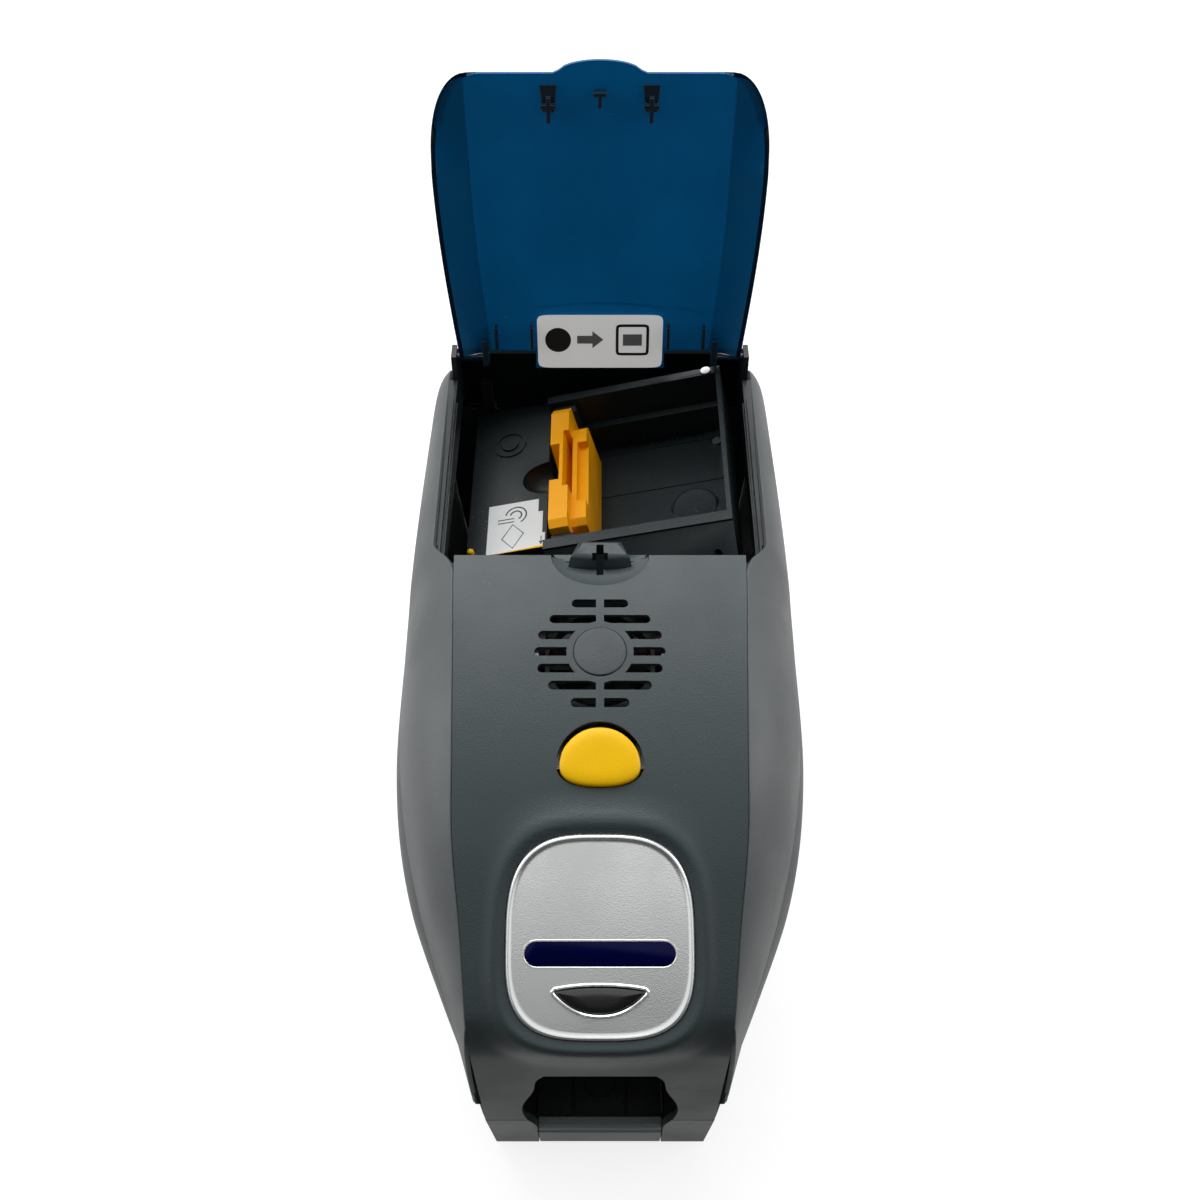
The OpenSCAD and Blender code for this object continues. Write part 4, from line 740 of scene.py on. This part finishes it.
# feeder cover, drawn closed about its hinge and then swung open
cover = {"length": 140.0, "hingeWidth": 147.0, "freeWidth": 161.0, "thickness": 2.2, "cornerRadius": 19.0,
         "cornerFrom": 0.74, "drop": 8.0, "lift": 3.0, "arch": 3.5, "flat": 0.785, "lipWidth": 39.0,
         "lipLength": 5.5, "open": 105.0, "from": 3.0, "tail": 7.0, "across": 60, "lengthwise": 64}
swungOpen = Matrix.Rotation(math.radians(-cover["open"]), 4, "X")
coverPlace = Matrix.Translation((0, hingeY * mm, hingeZ * mm)) @ swungOpen


def coverWide(t):
    return mix(cover["hingeWidth"], cover["freeWidth"], math.sin(math.pi / 2 * min(1, t * 1.5))) / 2


def coverHalf(t):
    turn = min(1, max(0, (t - cover["cornerFrom"]) / (1 - cover["cornerFrom"])))
    return coverWide(t) - cover["cornerRadius"] * (1 - math.sqrt(1 - turn * turn))


def coverSurface(u, t):
    half, side = coverHalf(t), 2 * u - 1
    flat = min(cover["flat"] * coverWide(t), half * 0.93)
    x = abs(side)
    drop = cover["drop"] * (1 - 0.92 * min(1, max(0, (t - 0.68) / 0.16)))
    if x <= 0.7:
        across, low = flat * x / 0.7, 0
    elif x <= 0.93:
        q = (x - 0.7) / 0.23
        across, low = mix(flat, half, q), drop * (0.8 * q + 0.2 * q * q)
    else:
        q = (x - 0.93) / 0.07
        across, low = half - 0.2 * q, drop * (1 + 0.325 * q)
    reach = cover["length"]
    lip = cover["lipLength"] * math.sqrt(max(0, 1 - (across / (cover["lipWidth"] / 2)) ** 2)) * t ** 12
    y = -mix(cover["from"], reach, t) - lip
    z = cover["lift"] + cover["arch"] * math.sin(math.pi * t) - low
    return math.copysign(across, side), y, z


def coverPoint(u, t):
    eased = 1 - (1 - t) ** 1.35
    return (coverPlace @ (Vector(coverSurface(u, eased)) * mm)) / mm


tintedSheet = bentSheet(cover["across"], cover["lengthwise"], coverPoint, (0, 1, 0.3))
coverSheet = addPiece("coverSheet", tintedSheet, "coverBlue", "cover", ["feeder_cover"], angle=24)
wallUp(coverSheet, cover["thickness"])
softEdges(coverSheet, 0.3, 2, 22)
tongueOutline = [(-34, -5), (34, -5), (34, cover["tail"]), (-34, cover["tail"])]
tongue = addPiece("coverTongue", prism(tongueOutline, 0.85, 2.95, coverPlace), "coverTint", "cover")
softEdges(tongue, 0.4)
softened("cover_clips", "coverParts", 0.25)
softened("cover_pins", "coverParts", 0.4)


def printOn(name, outline, height, turn, body, material="labelInk", thickness=0.06):
    low, high = sorted((height, height + thickness))
    return addPiece(name, prism(outline, low, high, turn), material, body)


labelFace = coverPlace @ Matrix.Translation((0, -8.5 * mm, 0.24 * mm)) @ Matrix.Rotation(math.pi, 4, "X")


def box2d(x0, y0, x1, y1):
    return [(x0, y0), (x1, y0), (x1, y1), (x0, y1)]


def ringDots(x, y, r, count=32):
    angles = [math.tau * i / count for i in range(count)]
    return [(x + r * math.cos(a), y + r * math.sin(a)) for a in angles]


def frameOf(name, outline, width, height, turn, body):  # a printed line round an outline
    section = [(0, height), (0, height + 0.06), (width, height + 0.06), (width, height)]
    addPiece(name, swept(section, outline, turn, True), "labelInk", body)


# the label sheet carries the painted light of its glowing finish
addPiece("coverLabelSheet", layered(softOutline(65.6, 29.6, 14, 0, 96), [(1, -0.2), (1, 0)], labelFace),
         "brightLabel", "cover", ["cover_label"])
printOn("labelDisc", ringDots(-22, 1, 6.8), 0, labelFace, "cover")
arrow = [(-12, -1), (-4, -1), (-4, -3.6), (1.8, 1.2), (-4, 6), (-4, 3.4), (-12, 3.4)]
printOn("labelArrow", arrow, 0, labelFace, "cover", "labelGrey")
frameOf("labelPanel", [(x + 17, y + 1) for x, y in softOutline(17.5, 17.5, 9, 0)], 1.5, 0, labelFace, "cover")
printOn("labelCard", box2d(12, -2.2, 22, 4.2), 0, labelFace, "cover", "labelGrey")
creases = {"arc": [(-33, -26), (-16, -28), (0, -28.6), (16, -28), (33, -26)],
           "side": [(38, -26.5), (47, -25), (55, -22)]}
for name, path in creases.items():  # raised lines of the sheet near the hinge
    under = cover["lift"] - cover["thickness"]
    path = [(x, y, under + cover["arch"] * math.sin(-math.pi * y / cover["length"])) for x, y in path]
    section = [(-0.4, 0.5), (0.4, 0.5), (0.3, -0.1), (-0.3, -0.1)]
    addPiece("coverLine" + name.capitalize(), swept(section, path, coverPlace), "coverTint", "cover")
print("feeder cover ready")

# bay, tray and pusher
pocket = {"half": 44.3, "depth": 38.0, "left": -27.0, "right": 63.0, "sunk": 6.98, "tilt": 14, "fromHinge": 54,
          "height": 202}
trayLean = Matrix.Rotation(-math.radians(pocket["tilt"]), 4, "Y")
trayPlace = Matrix.Translation((0, (hingeY - pocket["fromHinge"]) * mm, pocket["height"] * mm)) @ trayLean
roundedNodes = {  # the frame's own pieces with their finish and edge radius
    "bay_frame": ("bayBlack", 0.6), "feeder_tray": ("bayBlack", 0.6), "feeder_plate": ("bayBlack", 0.5),
    "card_pusher": ("pusherOrange", 0.7), "pusher_guides": ("bayBlack", 0.5), "cover_catch": ("caseDark", 0.5),
    "loading_label": ("labelWhite", 0), "hopper_tray": ("hopperBlack", 0.4), "hopper_sill": ("sillGrey", 0.6),
    "base_front": ("caseDark", 0.8), "rear_panel": ("caseDark", 0.4), "power_inlet": ("motorBlack", 0.3),
    "power_switch": ("keyBlack", 0.3), "feet": ("rubber", 0.8)}
for node, (material, width) in roundedNodes.items():
    softened(node, material, width)
labelEdge = [(-61.5, -47.5), (-30.5, -47.5), (-30.5, -38), (-34.5, -38), (-34.5, -14.5), (-61.5, -14.5)]
addPiece("loadingLabelSheet", prism(labelEdge, -pocket["sunk"], 0.2 - pocket["sunk"], trayPlace), "labelWhite",
         "chassis", ["loading_label"])
inkAt = 0.2 - pocket["sunk"]


def arcPath(x, y, r, a0, a1, count=14):
    angles = [math.radians(mix(a0, a1, i / count)) for i in range(count + 1)]
    return [(x + r * math.cos(a), y + r * math.sin(a)) for a in angles]


def inkLine(name, path, width=0.85, closed=False):
    half = width / 2
    section = [(-half, inkAt), (half, inkAt), (half, inkAt + 0.06), (-half, inkAt + 0.06)]
    addPiece(name, swept(section, path, trayPlace, closed), "labelInk", "chassis")


inkLine("pictureHook", arcPath(-46.5, -23.5, 5.6, -60, 170))
inkLine("pictureHookInner", arcPath(-46.5, -23.5, 3.0, -60, 170))
inkLine("pictureBar", [(-56, -25.4), (-47.5, -25.4), (-47.5, -27.6), (-56, -27.6)], 0.7, True)
inkLine("pictureCard", [(-48, -29.5), (-42, -36.5), (-47.5, -45.5), (-53.5, -38.5)], 0.7, True)
printed = [(-32.7, -40.2), (-32.2, -40.2), (-32.2, -43.6), (-31.2, -43.4), (-32.45, -46), (-33.7, -43.4),
           (-32.7, -43.6)]
printOn("pictureArrow", printed, inkAt, trayPlace, "chassis")
floorAt = -pocket["depth"]
ribs = [((pocket["left"] + 8, y, floorAt - 0.1), (pocket["right"], y + 0.7, floorAt + 0.45)) for y in (7.6, 38.6)]
ticks = [((x, pocket["half"] - 0.6, floorAt), (x + 1.4, pocket["half"] + 0.1, floorAt + 5))
         for x in (6 + 3.4 * i for i in range(15))]
addPiece("trayLines", boxes(ribs + ticks, trayPlace), "bayBlack", "chassis")
dishLevels = [(1, floorAt - 0.1), (1, floorAt + 0.1), (0.95, floorAt + 0.4), (0.9, floorAt + 0.4),
              (0.75, floorAt + 0.15), (0.35, floorAt + 0.05)]
addPiece("floorDish", layered(ringDots(42.5, -8.3, 12, 48), dishLevels, trayPlace), "bayBlack", "chassis",
         angle=60)
pegFoot = -pocket["sunk"]
pegLevels = [(1, pegFoot), (1, pegFoot + 2), (0.75, pegFoot + 2.6), (0.3, pegFoot + 2.8)]
addPiece("yellowPeg", layered(ringDots(-69.5, -44.5, 1.7, 28), pegLevels, trayPlace), "buttonYellow", "chassis",
         angle=60)
yellowEdge = prism([(-60, -48.2), (-31, -47.9), (-31, -46.6)], inkAt, inkAt + 0.5, trayPlace)
addPiece("yellowTab", yellowEdge, "buttonYellow", "chassis")
notches = [((x - 12, rear - 1.0, 160), (x + 12, rear - 0.3, 171)) for x in (-66.5, 66.5)]
# painted shade: dark blocks put where there is only shade, closing the view through the hinge notches
addPiece("paintedNotchShade", boxes(notches, Matrix()), "bayBlack", "chassis")
railX = 0.403 * 2 * casing["halfWidth"] - casing["wall"] - 2.3
channelZ = -11.0
for side, word in ((1, "Right"), (-1, "Left")):  # the channel that runs round the bay inside its rim
    ahead = [(side * (railX - 0.4 - 7 + 7 * math.cos(a)), bayY + 9.5 - 7 * math.sin(a), topZ(bayY + 9) + channelZ + 3)
             for a in (math.pi / 2 * i / 8 for i in range(9))]
    backToFront = [mix(hingeY - 22, bayY + 10, i / 12) for i in range(13)]
    run = [(side * (railX - 0.4), y, topZ(y) + channelZ + 3) for y in backToFront] + ahead[1:]
    profile = ((-0.3, -4), (2.4, -4), (2.4, 0), (1.5, 0), (1.5, -3.1), (-0.3, -3.1))
    inner = [(side * -q, z) for q, z in profile]
    addPiece("bayChannel" + word, swept([(-q, z) for q, z in inner], run), "bayBlack", "lid")
print("bay and base ready")

# pieces inside, which keep the frame's own shapes
inside = {
    "steel": ["frame_left", "frame_right", "frame_ties", "card_guide", "tray_bracket", "head_bracket",
              "idler_studs", "latch_bar", "data_port"],
    "brightSteel": ["tray_screws"], "boardGreen": ["main_board", "display_board"], "chipBlack": ["board_parts"],
    "panBlack": ["base_pan", "hinge_brackets", "lid_hinge", "fan_housing", "fan_rotor"], "motorBlack": ["motor"],
    "bushCream": ["roller_bushes"],
    "gearIvory": ["platen_gear", "exit_gear", "feed_gear", "idler_front", "idler_rear"],
    "brass": ["motor_pinion"], "rollerRubber": ["platen_roller", "exit_roller", "feed_roller"],
    "headCeramic": ["print_head"], "ribbonColour": ["supply_ribbon"], "ribbonUsed": ["takeup_ribbon"],
}
for material, nodes in inside.items():
    for node in nodes:
        for slot in frame["nodes"][node].material_slots:
            slot.material = finishes[material]
print("inside ready")

# floor, light and camera
# paintedSheen is the strength of the floor's painted reflection glow, seen only in gloss
stageSizes = {"floor": 6.0, "fill": 0.22, "dim": 0.07, "near": (-0.3, -0.215), "paintedSheen": 0.45, "pale": 0.82}
lamps = {
    "topLight": {"size": (1.7, 1.2), "power": 24.0, "at": (-0.15, 0.85, 1.35), "towards": (0, 0, 0.15)},
    "leftLight": {"size": (0.5, 1.4), "power": 5.5, "at": (-1.1, 0.1, 0.5), "towards": (0, 0, 0.12)},
    "rightLight": {"size": (0.5, 1.4), "power": 5.5, "at": (1.1, 0.1, 0.5), "towards": (0, 0, 0.12)},
}


def fromCamera(nodes, links):  # 1 where seen directly or through the tinted sheet, and 1 where seen in gloss
    path = nodes.new("ShaderNodeLightPath")
    seen = calc(nodes, links, "ADD", path.outputs["Is Camera Ray"], path.outputs["Is Transmission Ray"], True)
    return seen, path.outputs["Is Glossy Ray"]


def floorFinish():
    material = bpy.data.materials.new("paleFloor")
    material.use_nodes = True
    nodes, links = material.node_tree.nodes, material.node_tree.links
    shader = nodes["Principled BSDF"]
    shader.inputs["Base Color"].default_value = (0.35, 0.35, 0.35, 1)
    shader.inputs["Roughness"].default_value = 0.9
    shader.inputs["Specular IOR Level"].default_value = 0.0
    glow = nodes.new("ShaderNodeEmission")
    glow.inputs["Color"].default_value = (1, 1, 1, 1)
    seen, glossy = fromCamera(nodes, links)
    split = nodes.new("ShaderNodeSeparateXYZ")
    links.new(nodes.new("ShaderNodeTexCoord").outputs["Object"], split.inputs[0])
    # painted reflection: where it is seen in gloss, the floor glows under and behind the object, brightening the
    # object's reflections; seen directly, it is evenly pale
    close = spread(nodes, links, split.outputs["Y"], *stageSizes["near"])
    paintedSheen = calc(nodes, links, "MULTIPLY", close, stageSizes["paintedSheen"])
    pale = calc(nodes, links, "MULTIPLY", seen, stageSizes["pale"])
    links.new(calc(nodes, links, "MAXIMUM", pale, calc(nodes, links, "MULTIPLY", glossy, paintedSheen)),
              glow.inputs["Strength"])
    both = nodes.new("ShaderNodeAddShader")
    links.new(shader.outputs[0], both.inputs[0])
    links.new(glow.outputs[0], both.inputs[1])
    links.new(both.outputs[0], nodes["Material Output"].inputs["Surface"])
    return material


floorMesh = bpy.data.meshes.new("floor")
bm = bmesh.new()
bmesh.ops.create_grid(bm, x_segments=1, y_segments=1, size=stageSizes["floor"])
bm.to_mesh(floorMesh)
bm.free()
floor = bpy.data.objects.new("floor", floorMesh)
bpy.context.scene.collection.objects.link(floor)
floorMesh.materials.append(floorFinish())

world = bpy.data.worlds.new("softRoom")
bpy.context.scene.world = world
world.use_nodes = True
wNodes, wLinks = world.node_tree.nodes, world.node_tree.links
room = wNodes["Background"]
room.inputs["Color"].default_value = (1, 1, 1, 1)
heading = wNodes.new("ShaderNodeSeparateXYZ")
wLinks.new(wNodes.new("ShaderNodeTexCoord").outputs["Generated"], heading.inputs[0])
behind = spread(wNodes, wLinks, heading.outputs["Y"], -0.74, -0.6)
sky = calc(wNodes, wLinks, "MAXIMUM", behind, stageSizes["dim"])  # darker ahead of the object
seen, glossy = fromCamera(wNodes, wLinks)
level = calc(wNodes, wLinks, "MULTIPLY", sky, calc(wNodes, wLinks, "MAXIMUM", glossy, stageSizes["fill"]))
wLinks.new(calc(wNodes, wLinks, "MAXIMUM", level, seen), room.inputs["Strength"])


def softLight(name, size, power, at, towards):
    lamp = bpy.data.lights.new(name, "AREA")
    lamp.shape, lamp.size, lamp.size_y, lamp.energy = "RECTANGLE", *size, power
    holder = bpy.data.objects.new(name, lamp)
    bpy.context.scene.collection.objects.link(holder)
    holder.location = at
    holder.rotation_mode = "QUATERNION"
    holder.rotation_quaternion = (Vector(towards) - Vector(at)).to_track_quat("-Z", "Y")


for name, values in lamps.items():
    softLight(name, **values)

cameraView = {"at": (0, front - 149.2, 646.9), "lean": 36.2, "lens": 35.78, "sensor": 36.0, "shiftUp": 0.027}
camera = bpy.data.objects.new("photoCamera", bpy.data.cameras.new("photoCamera"))
bpy.context.scene.collection.objects.link(camera)
camera.location = Vector(cameraView["at"]) * mm
camera.rotation_euler = (math.radians(cameraView["lean"]), 0, 0)
camera.data.lens, camera.data.sensor_width = cameraView["lens"], cameraView["sensor"]
camera.data.shift_y = cameraView["shiftUp"]
camera.data.clip_start = 0.01
bpy.context.scene.camera = camera
bpy.context.scene.view_settings.view_transform = "Standard"
print("stage ready", len(pieceCount), "pieces")
